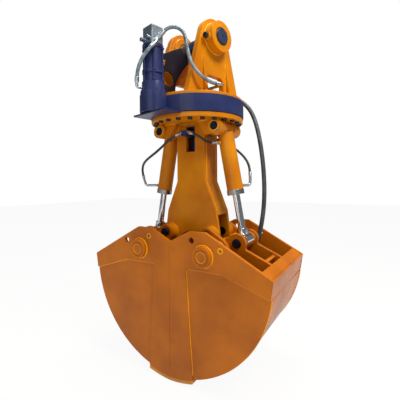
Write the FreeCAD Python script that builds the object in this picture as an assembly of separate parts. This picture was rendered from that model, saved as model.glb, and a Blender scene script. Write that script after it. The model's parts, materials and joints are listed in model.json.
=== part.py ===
import FreeCAD, Part
import math
import os

# Rotating hydraulic clamshell bucket for an excavator, hanging closed from its pin.
# Millimetres. The origin is the middle of the hanger pin. +Z is up. The shells open
# along X and hinge about Y. The hanger is turned a little about Z from the shells.

V = FreeCAD.Vector
os.makedirs("parts", exist_ok=True)

# ---- driving dimensions: levels, measured down from the hanger pin ----
pin_height = 368.0          # hanger pin above the round hanger plate
disc_t = 20.0               # round hanger plate
housing_h = 100.0           # slewing housing
turning_gap = 2.0           # between the fixed housing and the turning flange
flange_t = 28.0             # column flange
top_pin_drop = 42.0         # cylinder top pins below the column flange
hinge_drop = 656.0          # shell hinge below the cylinder top pins
mouth_drop = 794.0          # cutting edge below the shell hinge

# ---- hanger ----
hanger_turn = -14.0         # hanger's turn about Z from the shells, degrees
disc_r = 295.0
disc_bore_r = 70.0
ear_gap = 250.0             # between the two ear plates
ear_t = 38.0
ear_top_r = 122.0
ear_foot = 236.0            # half width of an ear at its foot
boss_r = 92.0
boss_out = 58.0             # boss stands out of the ear
boss_in = 15.0              # boss stands in towards the arm
window_half = 78.0          # hose window in each ear's foot
window_h = 135.0
rib_t = 20.0
rib_h = 250.0
rib_out = 38.0
pin_r = 46.0
bush_wall = 10.0
pin_cap_t = 8.0
lock_r = 10.0               # cross bolt that holds the pin
lock_drop = 20.0            # below the pin's axis
pad_out = 16.0              # its pad stands out of the boss
guard_t = 8.0
guard_at = -68.0            # guard plate beside the swivel head
round_play = 0.05           # radial clearance of every running fit
seat = 0.3                  # gap left where curved faces only rest on each other

# ---- slewing drive ----
housing_r = 305.0
housing_wall = 10.0
gear_module = 8.0
ring_teeth = 71
pinion_teeth = 15
gear_backlash = 1.2
gear_h = 46.0
ring_bore_r = 236.0
race_gap = 0.1
race_bore_r = 190.0
pinion_side = -20.0         # pinion axis along the hanger pin
lobe_wall = 8.0
apron_t = 10.0
motor_r = 56.0
motor_h = 295.0
block_w = 92.0
block_d = 84.0
block_h = 105.0
port_r = 10.5               # open ports for the slewing lines

# ---- column ----
flange_r = 300.0
column_x = 104.0            # half width
column_y = 85.0             # half depth
column_plate = 16.0
flare_x = 180.0
flare_start = 330.0         # below the top pins
flare_end = 520.0
skirt_drop = 540.0          # lower edge of the side plates below the top pins
window_x = 66.0             # width of the swivel window
window_top = 22.0           # window top above the top pins
window_low = 140.0          # window bottom below the top pins
flange_bolt_n = 24
flange_bolt_pcr = 275.0
bolt_head_r = 15.0
bolt_head_h = 14.0
swivel_r = 40.0
spindle_r = 27.0
arm_half = 17.0             # square arms of the swivel that carry the cylinder hoses
arm_reach = 167.0
arm_drop = 30.0             # below the top pins

# ---- cylinder linkage ----
top_pin_x = 203.0
hinge_x = 150.0
rod_pin_x = 328.0
rod_pin_below = 37.0        # rod pin below the hinge
tube_x = 224.0
tube_below = 79.0           # torsion tube below the hinge
lug_r = 45.0
lug_in = 58.0               # lug blocks from |Y| = lug_in
lug_out = 148.0
lug_face = 20.0             # lug's boss stands this far out of its plate
lug_top_x = 78.0            # lug's inner edge at the flange and at its foot
lug_low_x = 128.0
top_pin_r = 26.0
barrel_r = 50.0
bore_r = 40.0
rod_r = 22.5
barrel_len = 420.0
gland_len = 30.0
top_cap = 78.0              # bore starts this far below the top pin
port_at = 363.0             # hose port below the top pin, along the barrel
port_boss_r = 13.0
port_reach = 66.0
left_elbow_leg = 112.0
right_elbow_leg = 58.0
elbow_end = 24.0
right_port_aim = 62.0       # ports' directions, degrees round from outward
left_port_aim = 0.0
head_port_at = 92.0
head_port_aim = -127.0
eye_half = 52.0
eye_r = 39.0
rod_eye_r = 47.0
rod_pin_r = 27.0
link_play = 10.0            # rod eye on its pin: room for the straight-line coupling

# ---- shells ----
half_len = 609.0
half_width = 322.0
wear_t = 10.0               # doublers and edge bands on the side plates
side_t = 12.0
wall_t = 12.0
shell_gap = 0.5             # each shell's edge from the middle plane
shoulder_x = 235.0
notch_x = 130.0
shoulder_up = 51.0          # top edge above the hinge
notch_down = 18.0           # notch bottom below the hinge
corner_down = 152.0         # outer corner below the hinge
corner_h = 97.0
belly_x = 594.0
belly_r = 627.0
rim_w = 72.0
doubler_low = 159.0         # doubler's lower edge below the hinge
doubler_out = 245.0         # and at the outer edge
doubler_knee = 330.0
band_top = 110.0
band_low = 150.0
lip_t = 20.0
lip_x = 152.0
arm_in = 130.0              # hinge arms from |Y| = arm_in
arm_t = 30.0
cheek_in = 86.0             # rod cheeks from |Y| = cheek_in
cheek_t = 26.0
cheek_head_r = 56.0
torsion_r = 55.0
torsion_wall = 12.0
cap_out = 26.0              # torsion tube caps stand out of the side plates
cap_r = 58.0
cap_round = 4.0
hinge_pin_r = 26.0
hinge_boss_r = 48.0
hinge_arm_r = 50.0
access_hole_r = 17.0

# ---- hoses: outer radius of each ----
supply_r = 14.5
motor_hose_r = 10.5
cylinder_hose_r = 8.0

# ---- levels worked out from the above ----
z_disc_top = -pin_height
z_disc = z_disc_top - disc_t
z_housing = z_disc - housing_h
z_flange_top = z_housing - turning_gap
z_flange = z_flange_top - flange_t
z_top = z_flange - top_pin_drop
z_arm = z_top - arm_drop
z_hinge = z_top - hinge_drop
z_rod = z_hinge - rod_pin_below
z_tube = z_hinge - tube_below
z_lip = z_hinge - mouth_drop


# ---------------------------------------------------------------- helpers
def box(x0, x1, y0, y1, z0, z1):
    return Part.makeBox(x1 - x0, y1 - y0, z1 - z0, V(x0, y0, z0))


def cyl(r, p, q):
    """Solid cylinder of radius r from point p to point q."""
    a = V(*p)
    b = V(*q)
    return Part.makeCylinder(r, (b - a).Length, a, b - a)


def cyl_y(r, x, z, y0, y1):
    return Part.makeCylinder(r, y1 - y0, V(x, y0, z), V(0, 1, 0))


def cyl_z(r, x, y, z0, z1):
    return Part.makeCylinder(r, z1 - z0, V(x, y, z0), V(0, 0, 1))


def tube_z(r_out, r_in, z0, z1, x=0.0, y=0.0):
    return cyl_z(r_out, x, y, z0, z1).cut(cyl_z(r_in, x, y, z0, z1))


def outline(points):
    """Wire in the XZ plane. A point (x, z) is reached by a straight edge;
    a point (x, z, mx, mz) is reached by an arc through (mx, mz)."""
    edges = []
    here = V(points[0][0], 0, points[0][1])
    rest = list(points[1:])
    last = rest[-1]
    if math.hypot(last[0] - here.x, last[1] - here.z) > 0.001:
        rest.append(points[0][:2])
    for p in rest:
        there = V(p[0], 0, p[1])
        if len(p) == 4:
            edges.append(Part.Arc(here, V(p[2], 0, p[3]), there).toShape())
        else:
            edges.append(Part.LineSegment(here, there).toShape())
        here = there
    return Part.Wire(edges)


def plate(points, y0, y1):
    """Plate of the given XZ outline, from Y = y0 to y1."""
    face = Part.Face(outline(points))
    slab = face.extrude(V(0, y1 - y0, 0))
    slab.translate(V(0, y0, 0))
    return slab


def solid_of(shape):
    return shape.removeSplitter()


def biggest(shape):
    return sorted(shape.Solids, key=lambda p: -p.Volume)[0]


def mirror_y(shape):
    return shape.mirror(V(0, 0, 0), V(0, 1, 0))


def mirror_x(shape):
    return shape.mirror(V(0, 0, 0), V(1, 0, 0))


def both_sides(shape):
    """The piece and its twin across the middle plane Y = 0."""
    return [shape, mirror_y(shape)]


def on_hanger(shape):
    """Turn a shape made square to the hanger to its place on the shells' frame."""
    turned = shape.copy()
    turned.rotate(V(0, 0, 0), V(0, 0, 1), hanger_turn)
    return turned


def hanger_xy(along, across):
    """A place on the hanger (along the pin, across it) as row X and Y."""
    t = math.radians(hanger_turn)
    return (along * math.cos(t) - across * math.sin(t), along * math.sin(t) + across * math.cos(t))


def capsule(p, rp, q, rq):
    """XZ outline of two circles and their outer tangents."""
    dx = q[0] - p[0]
    dz = q[1] - p[1]
    d = math.hypot(dx, dz)
    base = math.atan2(dz, dx)
    lean = math.acos((rp - rq) / d)

    def at(c, r, a):
        return (c[0] + r * math.cos(a), c[1] + r * math.sin(a))

    p1 = at(p, rp, base + lean)
    p2 = at(p, rp, base - lean)
    q1 = at(q, rq, base + lean)
    q2 = at(q, rq, base - lean)
    pm = at(p, rp, base + math.pi)
    qm = at(q, rq, base)
    return [q1, p1, (p2[0], p2[1], pm[0], pm[1]), q2, (q1[0], q1[1], qm[0], qm[1])]


saved = {}


def save(name, shapes):
    """Write one node; a node of several solids is a group of like pieces."""
    if not isinstance(shapes, list):
        shapes = [shapes]
    solids = []
    for s in shapes:
        solids.extend(s.Solids)
    piece = solids[0] if len(solids) == 1 else Part.makeCompound(solids)
    piece.exportStep("parts/" + name + ".step")
    saved[name] = piece


# ---------------------------------------------------------------- gears
def gear_outline(teeth, start, flank_steps):
    """Involute outline in XY, with one tooth's middle at the angle start (radians)."""
    pitch = gear_module * teeth / 2.0
    base = pitch * math.cos(math.radians(20.0))
    tip = pitch + 0.9 * gear_module
    root = pitch - 1.15 * gear_module
    half = (math.pi * gear_module / 2.0 - gear_backlash) / 2.0 / pitch
    inv_pitch = math.tan(math.radians(20.0)) - math.radians(20.0)
    low = max(base, root)
    flank = []
    for i in range(flank_steps + 1):
        r = low + (tip - low) * i / flank_steps
        a = math.acos(min(1.0, base / r))
        flank.append((r, half + inv_pitch - (math.tan(a) - a)))
    points = []
    for k in range(teeth):
        mid = start + 2.0 * math.pi * k / teeth
        points.append((root, mid - flank[0][1]))
        for r, a in flank:
            if r > root:
                points.append((r, mid - a))
        for r, a in reversed(flank):
            if r > root:
                points.append((r, mid + a))
        points.append((root, mid + flank[0][1]))
    return [(r * math.cos(a), r * math.sin(a)) for r, a in points]


def gear_blank(points, x, y, z0, z1):
    wire = Part.makePolygon([V(x + p[0], y + p[1], z0) for p in points + points[:1]])
    return Part.Face(wire).extrude(V(0, 0, z1 - z0))


# ---------------------------------------------------------------- hoses
def hose(points, r, name):
    """Straight runs joined by tangent arcs, swept with a round section."""
    pts = [V(*p) for p in points]
    edges = []
    here = pts[0]
    length = 0.0
    tightest = 1e9
    for i in range(1, len(pts) - 1):
        a = pts[i] - pts[i - 1]
        b = pts[i + 1] - pts[i]
        turn = a.getAngle(b)
        radius = 0.45 * min(a.Length, b.Length) / math.tan(turn / 2.0)
        back = radius * math.tan(turn / 2.0)
        p = pts[i] - a.normalize() * back
        q = pts[i] + b.normalize() * back
        centre = pts[i] + (b - a).normalize() * (radius / math.cos(turn / 2.0))
        middle = centre + (pts[i] - centre).normalize() * radius
        edges.append(Part.LineSegment(here, p).toShape())
        edges.append(Part.Arc(p, middle, q).toShape())
        length += (p - here).Length + radius * turn
        here = q
        tightest = min(tightest, radius)
    edges.append(Part.LineSegment(here, pts[-1]).toShape())
    length += (pts[-1] - here).Length
    ring = Part.Wire(Part.makeCircle(r, pts[0], pts[1] - pts[0]))
    body = Part.Wire(edges).makePipeShell([ring], True, False)
    ratio = body.Volume / (math.pi * r * r * length)
    print(name, "length", round(length), "tightest", round(tightest), "volume ratio", round(ratio, 4))
    return body.Solids[0]


def fitting(p, q, r, nut_r, nut_len):
    """Crimped hose end from p to q with a hexagon nut at q."""
    a = V(*p)
    b = V(*q)
    axis = (b - a).normalize()
    body = Part.makeCylinder(r, (V(*q) - a).Length - nut_len, a, axis)
    start = V(*q) - axis * nut_len
    flat = Part.makePolygon([start + FreeCAD.Rotation(V(0, 0, 1), axis).multVec(
        V(nut_r * math.cos(math.radians(60 * k)), nut_r * math.sin(math.radians(60 * k)), 0))
        for k in range(7)])
    nut = Part.Face(flat).extrude(axis * nut_len)
    return body.fuse(nut)


# ---------------------------------------------------------------- hanger
def ear(side):
    """One ear with its boss and ribs; side is +1 or -1 along the pin."""
    foot = z_disc_top
    lean = math.atan2(ear_foot - ear_top_r, pin_height)
    sx = ear_top_r * math.cos(lean)
    sz = ear_top_r * math.sin(lean)
    pts = [(-ear_foot, foot), (-sx, sz), (sx, sz, 0.0, ear_top_r), (ear_foot, foot),
           (window_half, foot), (window_half, foot + window_h - 20.0),
           (window_half - 20.0, foot + window_h), (20.0 - window_half, foot + window_h),
           (-window_half, foot + window_h - 20.0), (-window_half, foot)]
    inner = ear_gap / 2.0
    outer = inner + ear_t
    slab = plate(pts, inner, outer)
    slab = slab.fuse(cyl_y(boss_r, 0, 0, inner - boss_in, outer + boss_out))
    for s in (-window_half - 2.0 * rib_t, window_half + rib_t):
        rib = Part.Face(Part.makePolygon([V(s, outer, foot), V(s, outer + rib_out, foot),
                                          V(s, outer, foot + rib_h), V(s, outer, foot)]))
        slab = slab.fuse(rib.extrude(V(rib_t, 0, 0)))
    slab = slab.cut(cyl_y(pin_r + bush_wall, 0, 0, inner - boss_in - 1, outer + boss_out + 1))
    lock = cyl(lock_r + 1.0, (boss_r + 40.0, outer + boss_out / 2.0, -lock_drop),
               (0.0, outer + boss_out / 2.0, -lock_drop))
    if side > 0:
        pad = cyl(22.0, (boss_r + pad_out, outer + boss_out / 2.0, -lock_drop),
                  (boss_r - 20.0, outer + boss_out / 2.0, -lock_drop))
        slab = slab.fuse(pad.cut(cyl_y(boss_r - 2.0, 0, 0, outer - 1, outer + boss_out + 1)))
        slab = slab.cut(lock)
    # the plate was drawn with the pin along Y: turn it so that the pin lies along X
    slab = solid_of(slab)
    slab.rotate(V(0, 0, 0), V(0, 0, 1), -90.0)
    if side < 0:
        slab = mirror_x(slab)
    return on_hanger(slab)


def make_hanger():
    bore = cyl_z(disc_bore_r, 0, 0, z_disc - 1, z_disc_top + 1)
    disc = cyl_z(disc_r, 0, 0, z_disc, z_disc_top).cut(bore)
    save("hanger_plate", disc)
    save("hanger_ear_right", ear(1))
    save("hanger_ear_left", ear(-1))
    inner = ear_gap / 2.0 - boss_in
    outer = ear_gap / 2.0 + ear_t + boss_out
    bush = cyl((pin_r + bush_wall) - round_play, (inner, 0, 0), (outer, 0, 0))
    bush = bush.cut(cyl(pin_r + round_play, (inner - 1, 0, 0), (outer + 1, 0, 0)))
    lock_x = ear_gap / 2.0 + ear_t + boss_out / 2.0
    # the lock bolt passes the bush and a groove in the pin, clear of the pin's middle
    lock_hole = cyl(lock_r + 1.0, (lock_x, -boss_r - 40.0, -lock_drop), (lock_x, 0.0, -lock_drop))
    bolt_tip = pin_r - 24.0
    right_bush = bush.cut(lock_hole)
    left_bush = mirror_x(bush)
    save("hanger_bushes", [on_hanger(right_bush), on_hanger(left_bush)])
    shaft = cyl(pin_r, (-outer - pin_cap_t, 0, 0), (outer + pin_cap_t, 0, 0))
    hole = cyl(lock_r + 0.5, (lock_x, -boss_r - 40.0, -lock_drop), (lock_x, -bolt_tip + 1.0, -lock_drop))
    shaft = shaft.cut(hole)
    centre_mark = cyl(5.0, (outer + pin_cap_t - 6.0, 0, 0), (outer + pin_cap_t + 1, 0, 0))
    shaft = shaft.cut(centre_mark)
    save("hanger_pin", on_hanger(shaft))
    head_at = -boss_r - pad_out
    bolt = cyl(lock_r, (lock_x, head_at, -lock_drop), (lock_x, -bolt_tip, -lock_drop))
    bolt = bolt.fuse(cyl(17.0, (lock_x, head_at - 16.0, -lock_drop), (lock_x, head_at, -lock_drop)))
    save("hanger_lock_bolt", on_hanger(bolt))


# ---------------------------------------------------------------- slewing drive
def drive_centres():
    """How far the pinion lies across the hanger, from the gears' centre distance."""
    centres = gear_module * (ring_teeth + pinion_teeth) / 2.0
    return math.sqrt(centres * centres - pinion_side * pinion_side)


def make_slewing_drive():
    pinion_pitch = gear_module * pinion_teeth / 2.0
    across = -drive_centres()
    px, py = hanger_xy(pinion_side, across)
    aim = math.atan2(py, px)
    pocket_r = pinion_pitch + gear_module + 3.0
    lobe_r = pocket_r + lobe_wall
    # housing: ring wall with a round lobe over the pinion, closed by a top inside the wall
    wall = cyl_z(housing_r, 0, 0, z_housing, z_disc).fuse(cyl_z(lobe_r, px, py, z_housing, z_disc))
    web = math.sqrt(px * px + py * py)
    neck = Part.makeBox(web, 2.0 * (lobe_r - 14.0), housing_h, V(0, -(lobe_r - 14.0), z_housing))
    neck.rotate(V(0, 0, 0), V(0, 0, 1), math.degrees(aim))
    wall = wall.fuse(neck)
    cavity = cyl_z(housing_r - housing_wall, 0, 0, z_housing - 1, z_disc + 1)
    pocket = cyl_z(pocket_r, px, py, z_housing - 1, z_disc - 12.0)
    shell = wall.cut(cavity).cut(pocket)
    shaft_hole = cyl_z(20.0 + 2.0, px, py, z_housing, z_disc + 1)
    shell = shell.cut(shaft_hole)
    # apron: flat plate under the lobe with square corners, outside the turning flange
    apron = Part.makeBox(290.0, 140.0, apron_t, V(-150.0, across - 52.0, z_housing - apron_t))
    apron = on_hanger(apron).cut(cyl_z(flange_r + 3.0, 0, 0, z_flange - 1, z_housing + 1))
    save("slew_housing", solid_of(shell.fuse(apron)))
    # fixed bearing race, bolted under the hanger plate
    race_r = ring_bore_r - race_gap
    race = tube_z(race_r, race_bore_r, z_flange_top + 8.0, z_disc)
    save("bearing_inner_race", race)
    # turning gear ring, standing on the column flange
    teeth = gear_outline(ring_teeth, aim, 2)
    gear = gear_blank(teeth, 0, 0, z_flange_top, z_flange_top + gear_h)
    gear = gear.cut(cyl_z(ring_bore_r, 0, 0, z_flange_top - 1, z_flange_top + gear_h + 1))
    save("slew_gear_ring", gear)
    # pinion with a tooth space facing the gear ring
    back = aim + math.pi
    small = gear_outline(pinion_teeth, back + math.pi / pinion_teeth, 3)
    z0 = z_flange_top + turning_gap + 2.0
    pinion = gear_blank(small, px, py, z0, z0 + gear_h - 6.0)
    pinion = pinion.fuse(cyl_z(20.0, px, py, z0 + gear_h - 7.0, z_disc + 30.0))
    save("drive_pinion", pinion)
    # motor: flanged body with bands, hollow nose over the pinion shaft
    z1 = z_disc
    body = cyl_z(lobe_r - 4.0, px, py, z1, z1 + 22.0)
    body = body.fuse(cyl_z(motor_r + 10.0, px, py, z1 + 22.0, z1 + 78.0))
    body = body.fuse(cyl_z(motor_r, px, py, z1 + 78.0, z1 + motor_h))
    body = body.fuse(cyl_z(motor_r + 8.0, px, py, z1 + 128.0, z1 + 146.0))
    body = body.fuse(cyl_z(motor_r + 6.0, px, py, z1 + motor_h - 18.0, z1 + motor_h))
    body = body.cut(cyl_z(disc_r + 1.0, 0, 0, z_disc - 1, z_disc_top + seat))
    body = body.cut(cyl_z(20.0 + round_play, px, py, z1 - 1, z1 + 34.0))
    for k in range(6):
        a = math.radians(30.0 + 60.0 * k) + aim
        bx = px + (lobe_r - 14.0) * math.cos(a)
        by = py + (lobe_r - 14.0) * math.sin(a)
        if bx * bx + by * by > (disc_r + 12.0) ** 2:
            body = body.fuse(cyl_z(8.0, bx, by, z1 + 22.0, z1 + 32.0))
    save("slew_motor", solid_of(body))
    # valve block on the motor, with two open ports in its top
    z2 = z1 + motor_h
    bx, by = hanger_xy(pinion_side, across)
    block = box(-block_w / 2.0, block_w / 2.0, -block_d / 2.0, block_d / 2.0, z2, z2 + block_h)
    block = block.makeChamfer(6.0, [e for e in block.Edges if abs(e.Vertexes[0].Z - e.Vertexes[1].Z) > 1.0])
    for s in (-24.0, 24.0):
        block = block.cut(cyl_z(port_r, s, 12.0, z2 + block_h - 26.0, z2 + block_h + 1))
    block.rotate(V(0, 0, 0), V(0, 0, 1), hanger_turn)
    block.translate(V(bx, by, 0))
    for s in (-26.0, 26.0):
        cx, cy = hanger_xy(pinion_side + s, across - block_d / 2.0)
        tx, ty = hanger_xy(pinion_side + s, across - block_d / 2.0 - 26.0)
        block = block.fuse(cyl(12.0, (cx, cy, z2 + 30.0), (tx, ty, z2 + 30.0)))
    save("valve_block", solid_of(block))


# ---------------------------------------------------------------- swivel
def make_swivel():
    core = cyl_z(spindle_r, 0, 0, z_top - 128.0, z_disc - 4.0)
    core = core.fuse(cyl_z(disc_bore_r - 4.0, 0, 0, z_disc - 4.0, z_disc_top + 40.0))
    core = core.fuse(cyl_z(78.0, 0, 0, z_disc_top, z_disc_top + 40.0))
    head = cyl_z(66.0, 0, 0, z_disc_top + 40.0, z_disc_top + 170.0)
    head = head.fuse(cyl_z(48.0, 0, 0, z_disc_top + 170.0, z_disc_top + 214.0))
    edges = [e for e in head.Edges if isinstance(e.Curve, Part.Circle) and abs(
        e.Curve.Center.z - z_disc_top - 170.0) < 1 and e.Curve.Radius > 60.0]
    head = head.makeFillet(14.0, edges)
    save("swivel_core", solid_of(core.fuse(head)))
    body = tube_z(swivel_r, spindle_r + round_play, z_top - 138.0, z_flange - 4.0)
    body = body.fuse(tube_z(swivel_r + 14.0, swivel_r - 2.0, z_flange - 26.0, z_flange - 4.0))
    body = body.fuse(cyl_z(swivel_r, 0, 0, z_top - 138.0, z_top - 129.0))
    # square arms that reach out through the column's windows, front and rear
    for arm in both_sides(box(-arm_half, arm_half, -arm_reach, 4.0 - swivel_r, z_arm - arm_half, z_arm + arm_half)):
        body = body.fuse(arm.cut(cyl_z(swivel_r - 1.0, 0, 0, z_arm - 60.0, z_arm + 60.0)))
    save("swivel_body", solid_of(body))


# ---------------------------------------------------------------- column
def column_outline():
    """Front and rear plates: straight, flared, then round the two hinge pins."""
    top = z_flange
    z_a = z_top - flare_start
    z_b = z_top - flare_end
    r = hinge_arm_r - 1.0
    a = math.radians(12.0)
    side = (hinge_x + r * math.cos(a), z_hinge + r * math.sin(a))
    low = (hinge_x, z_hinge - r)
    mid = (hinge_x + r * math.cos(math.radians(-40.0)), z_hinge + r * math.sin(math.radians(-40.0)))
    left = [(-p[0], p[1]) for p in (side, low, mid)]
    arch = z_hinge + 8.0
    return [(column_x, top), (column_x, z_a), (flare_x, z_b), side, (low[0], low[1], mid[0], mid[1]),
            (hinge_x - 60.0, z_hinge - r + 6.0), (60.0 - hinge_x, z_hinge - r + 6.0, 0.0, arch),
            left[1], (left[0][0], left[0][1], left[2][0], left[2][1]),
            (-flare_x, z_b), (-column_x, z_a), (-column_x, top)]


def make_column():
    """Flange, plates and stub pins; returns the flange's bolt heads."""
    bolt_ring = []
    for k in range(flange_bolt_n):
        a = math.radians(7.5 + 360.0 / flange_bolt_n * k)
        x = flange_bolt_pcr * math.cos(a)
        y = flange_bolt_pcr * math.sin(a)
        bolt_ring.append(Part.makeCylinder(bolt_head_r, bolt_head_h, V(x, y, z_flange - bolt_head_h)))
    flange = tube_z(flange_r, swivel_r + 22.0, z_flange, z_flange_top)
    save("column_flange", flange)
    window = box(-window_x / 2.0, window_x / 2.0, -column_y - 1, column_y + 1,
                 z_top - window_low, z_top + window_top)
    front = plate(column_outline(), -column_y, -column_y + 25.0)
    front = front.cut(cyl_y(hinge_pin_r + round_play, hinge_x, z_hinge, -column_y - 1, 0))
    front = front.cut(cyl_y(hinge_pin_r + round_play, -hinge_x, z_hinge, -column_y - 1, 0))
    front = front.cut(window)
    for sx in (1, -1):
        boss = cyl_y(hinge_boss_r, sx * hinge_x, z_hinge, -arm_in + seat, -column_y)
        front = front.fuse(boss.cut(cyl_y(hinge_pin_r + round_play, sx * hinge_x, z_hinge,
                                          -arm_in - 1, -column_y + 1)))
    front = solid_of(front)
    save("column_front_plate", front)
    save("column_rear_plate", mirror_y(front))
    # side plates follow the flare between the front and rear plates
    y_in = column_y - 25.0
    z_a = z_top - flare_start
    z_b = z_top - flare_end
    slope = (flare_x - column_x) / (z_a - z_b)
    z_s = z_top - skirt_drop
    skirt_x = flare_x + 4.0
    sides = plate([(column_x, z_flange), (column_x, z_a), (flare_x, z_b), (skirt_x, z_s),
                   (skirt_x - column_plate, z_s), (flare_x - column_plate, z_b),
                   (column_x - column_plate, z_a - column_plate * slope * 0.3),
                   (column_x - column_plate, z_flange)], -y_in, y_in)
    save("column_side_plates", [sides, mirror_x(sides)])
    # stub pins through the plates, their bosses and the shells' hinge arms
    pins = []
    for sx in (1, -1):
        p = cyl_y(hinge_pin_r, sx * hinge_x, z_hinge, -arm_in - arm_t - 12.0, -column_y + 25.0 + 5.0)
        pins.extend(both_sides(p))
    save("hinge_pins", pins)
    return bolt_ring


def lug_block():
    """Thick lug for a cylinder top pin, front right; it laps the column's front plate."""
    pts = [(lug_top_x, z_flange), (top_pin_x - 14.0, z_flange),
           (top_pin_x + lug_r, z_top, top_pin_x + lug_r * 0.76, z_top + lug_r * 0.65),
           (top_pin_x, z_top - lug_r, top_pin_x + lug_r * 0.707, z_top - lug_r * 0.707),
           (lug_low_x, z_top - lug_r)]
    block = plate(pts, lug_face - lug_out, -lug_in)
    boss = cyl_y(lug_r, top_pin_x, z_top, -lug_out, -lug_in)
    block = block.fuse(boss)
    block = block.cut(box(0, column_x, -column_y, 0, z_hinge, z_flange + 1))
    return block.cut(box(0, 400, -200, 0, z_flange, z_flange + 99))


def make_lugs():
    """Lugs and top pins; returns the four bolts that lock the pins."""
    blocks = []
    pins = []
    bolts = []
    bolt_y = -lug_out + 48.0
    u = math.sqrt(0.5)
    for sx in (1, -1):
        lug = lug_block()
        lug = lug.cut(cyl_y(top_pin_r + round_play, top_pin_x, z_top, -lug_out - 1, 0))
        hole = cyl(9.0, (top_pin_x - 70.0 * u, bolt_y, z_top - 70.0 * u), (top_pin_x, bolt_y, z_top))
        lug = solid_of(lug.cut(hole))
        pin = cyl_y(top_pin_r, top_pin_x, z_top, -lug_out + 4.0, lug_out - 4.0)
        pin_hole = cyl(9.0, (top_pin_x - 60.0 * u, bolt_y, z_top - 60.0 * u),
                       (top_pin_x + 4.0 * u, bolt_y, z_top + 4.0 * u))
        pin = pin.cut(pin_hole).cut(mirror_y(pin_hole))
        shank = cyl(8.0, (top_pin_x - 72.0 * u, bolt_y, z_top - 72.0 * u), (top_pin_x, bolt_y, z_top))
        head = cyl(13.0, (top_pin_x - 84.0 * u, bolt_y, z_top - 84.0 * u),
                   (top_pin_x - 70.5 * u, bolt_y, z_top - 70.5 * u))
        reach = cyl(14.0, (top_pin_x - 110.0 * u, bolt_y, z_top - 110.0 * u),
                    (top_pin_x - 68.0 * u, bolt_y, z_top - 68.0 * u))
        lug = solid_of(lug.cut(reach))
        bolt = shank.fuse(head)
        if sx < 0:
            lug = mirror_x(lug)
            pin = mirror_x(pin)
            bolt = mirror_x(bolt)
        blocks.extend(both_sides(lug))
        pins.append(pin)
        bolts.extend(both_sides(bolt))
    save("cylinder_lugs", blocks)
    save("top_pins", pins)
    return bolts


# ---------------------------------------------------------------- cylinders
def along(s, side=0.0):
    """Point on the right cylinder, s below the top pin and side away from the middle."""
    dx = rod_pin_x - top_pin_x
    dz = z_rod - z_top
    d = math.hypot(dx, dz)
    ux = dx / d
    uz = dz / d
    return (top_pin_x + ux * s - uz * side, 0.0, z_top + uz * s + ux * side)


def make_cylinders():
    reach = math.hypot(rod_pin_x - top_pin_x, z_rod - z_top)
    eye = cyl_y(eye_r, top_pin_x, z_top, -eye_half, eye_half)
    tube = cyl(barrel_r, along(30.0), along(barrel_len - gland_len))
    barrel = eye.fuse(tube)
    barrel = barrel.cut(cyl(bore_r, along(top_cap), along(barrel_len)))
    barrel = barrel.cut(cyl_y(top_pin_r + round_play, top_pin_x, z_top, -99, 99))
    gland = cyl(barrel_r + 3.0, along(barrel_len - gland_len), along(barrel_len))
    gland = gland.fuse(cyl(bore_r - 0.1, along(barrel_len - gland_len - 24.0), along(barrel_len - gland_len)))
    gland = solid_of(gland.cut(cyl(rod_r + round_play, along(barrel_len - 90.0), along(barrel_len + 1))))
    piston = cyl(bore_r - round_play, along(272.0), along(312.0))
    piston = piston.cut(cyl(rod_r - 6.0, along(271.0), along(313.0)))
    rod = cyl(rod_r, along(312.0), along(reach - rod_eye_r + 8.0))
    rod = rod.fuse(cyl(rod_r - 6.0 - round_play, along(264.0), along(312.0)))
    rod = rod.fuse(cyl(rod_r + 10.0, along(reach - rod_eye_r - 30.0), along(reach - rod_eye_r + 8.0)))
    end = cyl_y(rod_eye_r, rod_pin_x, z_rod, -eye_half, eye_half)
    rod = rod.fuse(end).cut(cyl_y(rod_pin_r + link_play, rod_pin_x, z_rod, -99, 99))
    rod = solid_of(rod)
    # each cylinder's rod port looks outwards and its head port to the hose's side of the column
    for name, turn, aim in (("right", False, right_port_aim), ("left", True, left_port_aim)):
        rod_end = port(port_at, aim, port_reach)
        head_end = port(head_port_at, head_port_aim if name == "right" else -head_port_aim, port_reach)
        tube = solid_of(barrel.fuse(rod_end).fuse(head_end))
        for part, shape in (("barrel", tube), ("gland", gland), ("piston", piston), ("rod", rod)):
            save(name + "_" + part, mirror_x(shape) if turn else shape)


def port_end(s, aim, reach):
    """Point on a port's axis, reach out from the right barrel's axis at s below the top pin."""
    root = along(s)
    a = math.radians(aim)
    return (root[0] + math.cos(a) * reach, math.sin(a) * reach, root[2])


def port(s, aim, reach):
    return cyl(port_boss_r, port_end(s, aim, bore_r + 5.0), port_end(s, aim, reach))


# ---------------------------------------------------------------- shells
def belly_mid(x0, z0, x1, z1, r):
    """Middle point of the arc of radius r that bulges away from the hinge side."""
    mx = (x0 + x1) / 2.0
    mz = (z0 + z1) / 2.0
    half = math.hypot(x1 - x0, z1 - z0) / 2.0
    rise = r - math.sqrt(r * r - half * half)
    nx = (z0 - z1) / (2.0 * half)
    nz = -(x0 - x1) / (2.0 * half)
    return mx + nx * rise, mz + nz * rise


z_shoulder = z_hinge + shoulder_up
z_notch = z_hinge - notch_down
z_corner = z_hinge - corner_down
z_belly = z_corner - corner_h
arc_mid = belly_mid(belly_x, z_belly, shell_gap, z_lip, belly_r)
top_slope = math.atan2(z_shoulder - z_corner, half_len - shoulder_x)


def arc_centre():
    mx = (belly_x + shell_gap) / 2.0
    mz = (z_belly + z_lip) / 2.0
    dx = mx - arc_mid[0]
    dz = mz - arc_mid[1]
    d = math.hypot(dx, dz)
    return arc_mid[0] + dx / d * belly_r, arc_mid[1] + dz / d * belly_r


belly_c = arc_centre()


def on_arc(r, x):
    """Point of the belly circle of radius r at the given X, on its lower side."""
    return (x, belly_c[1] - math.sqrt(r * r - (x - belly_c[0]) ** 2))


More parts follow.
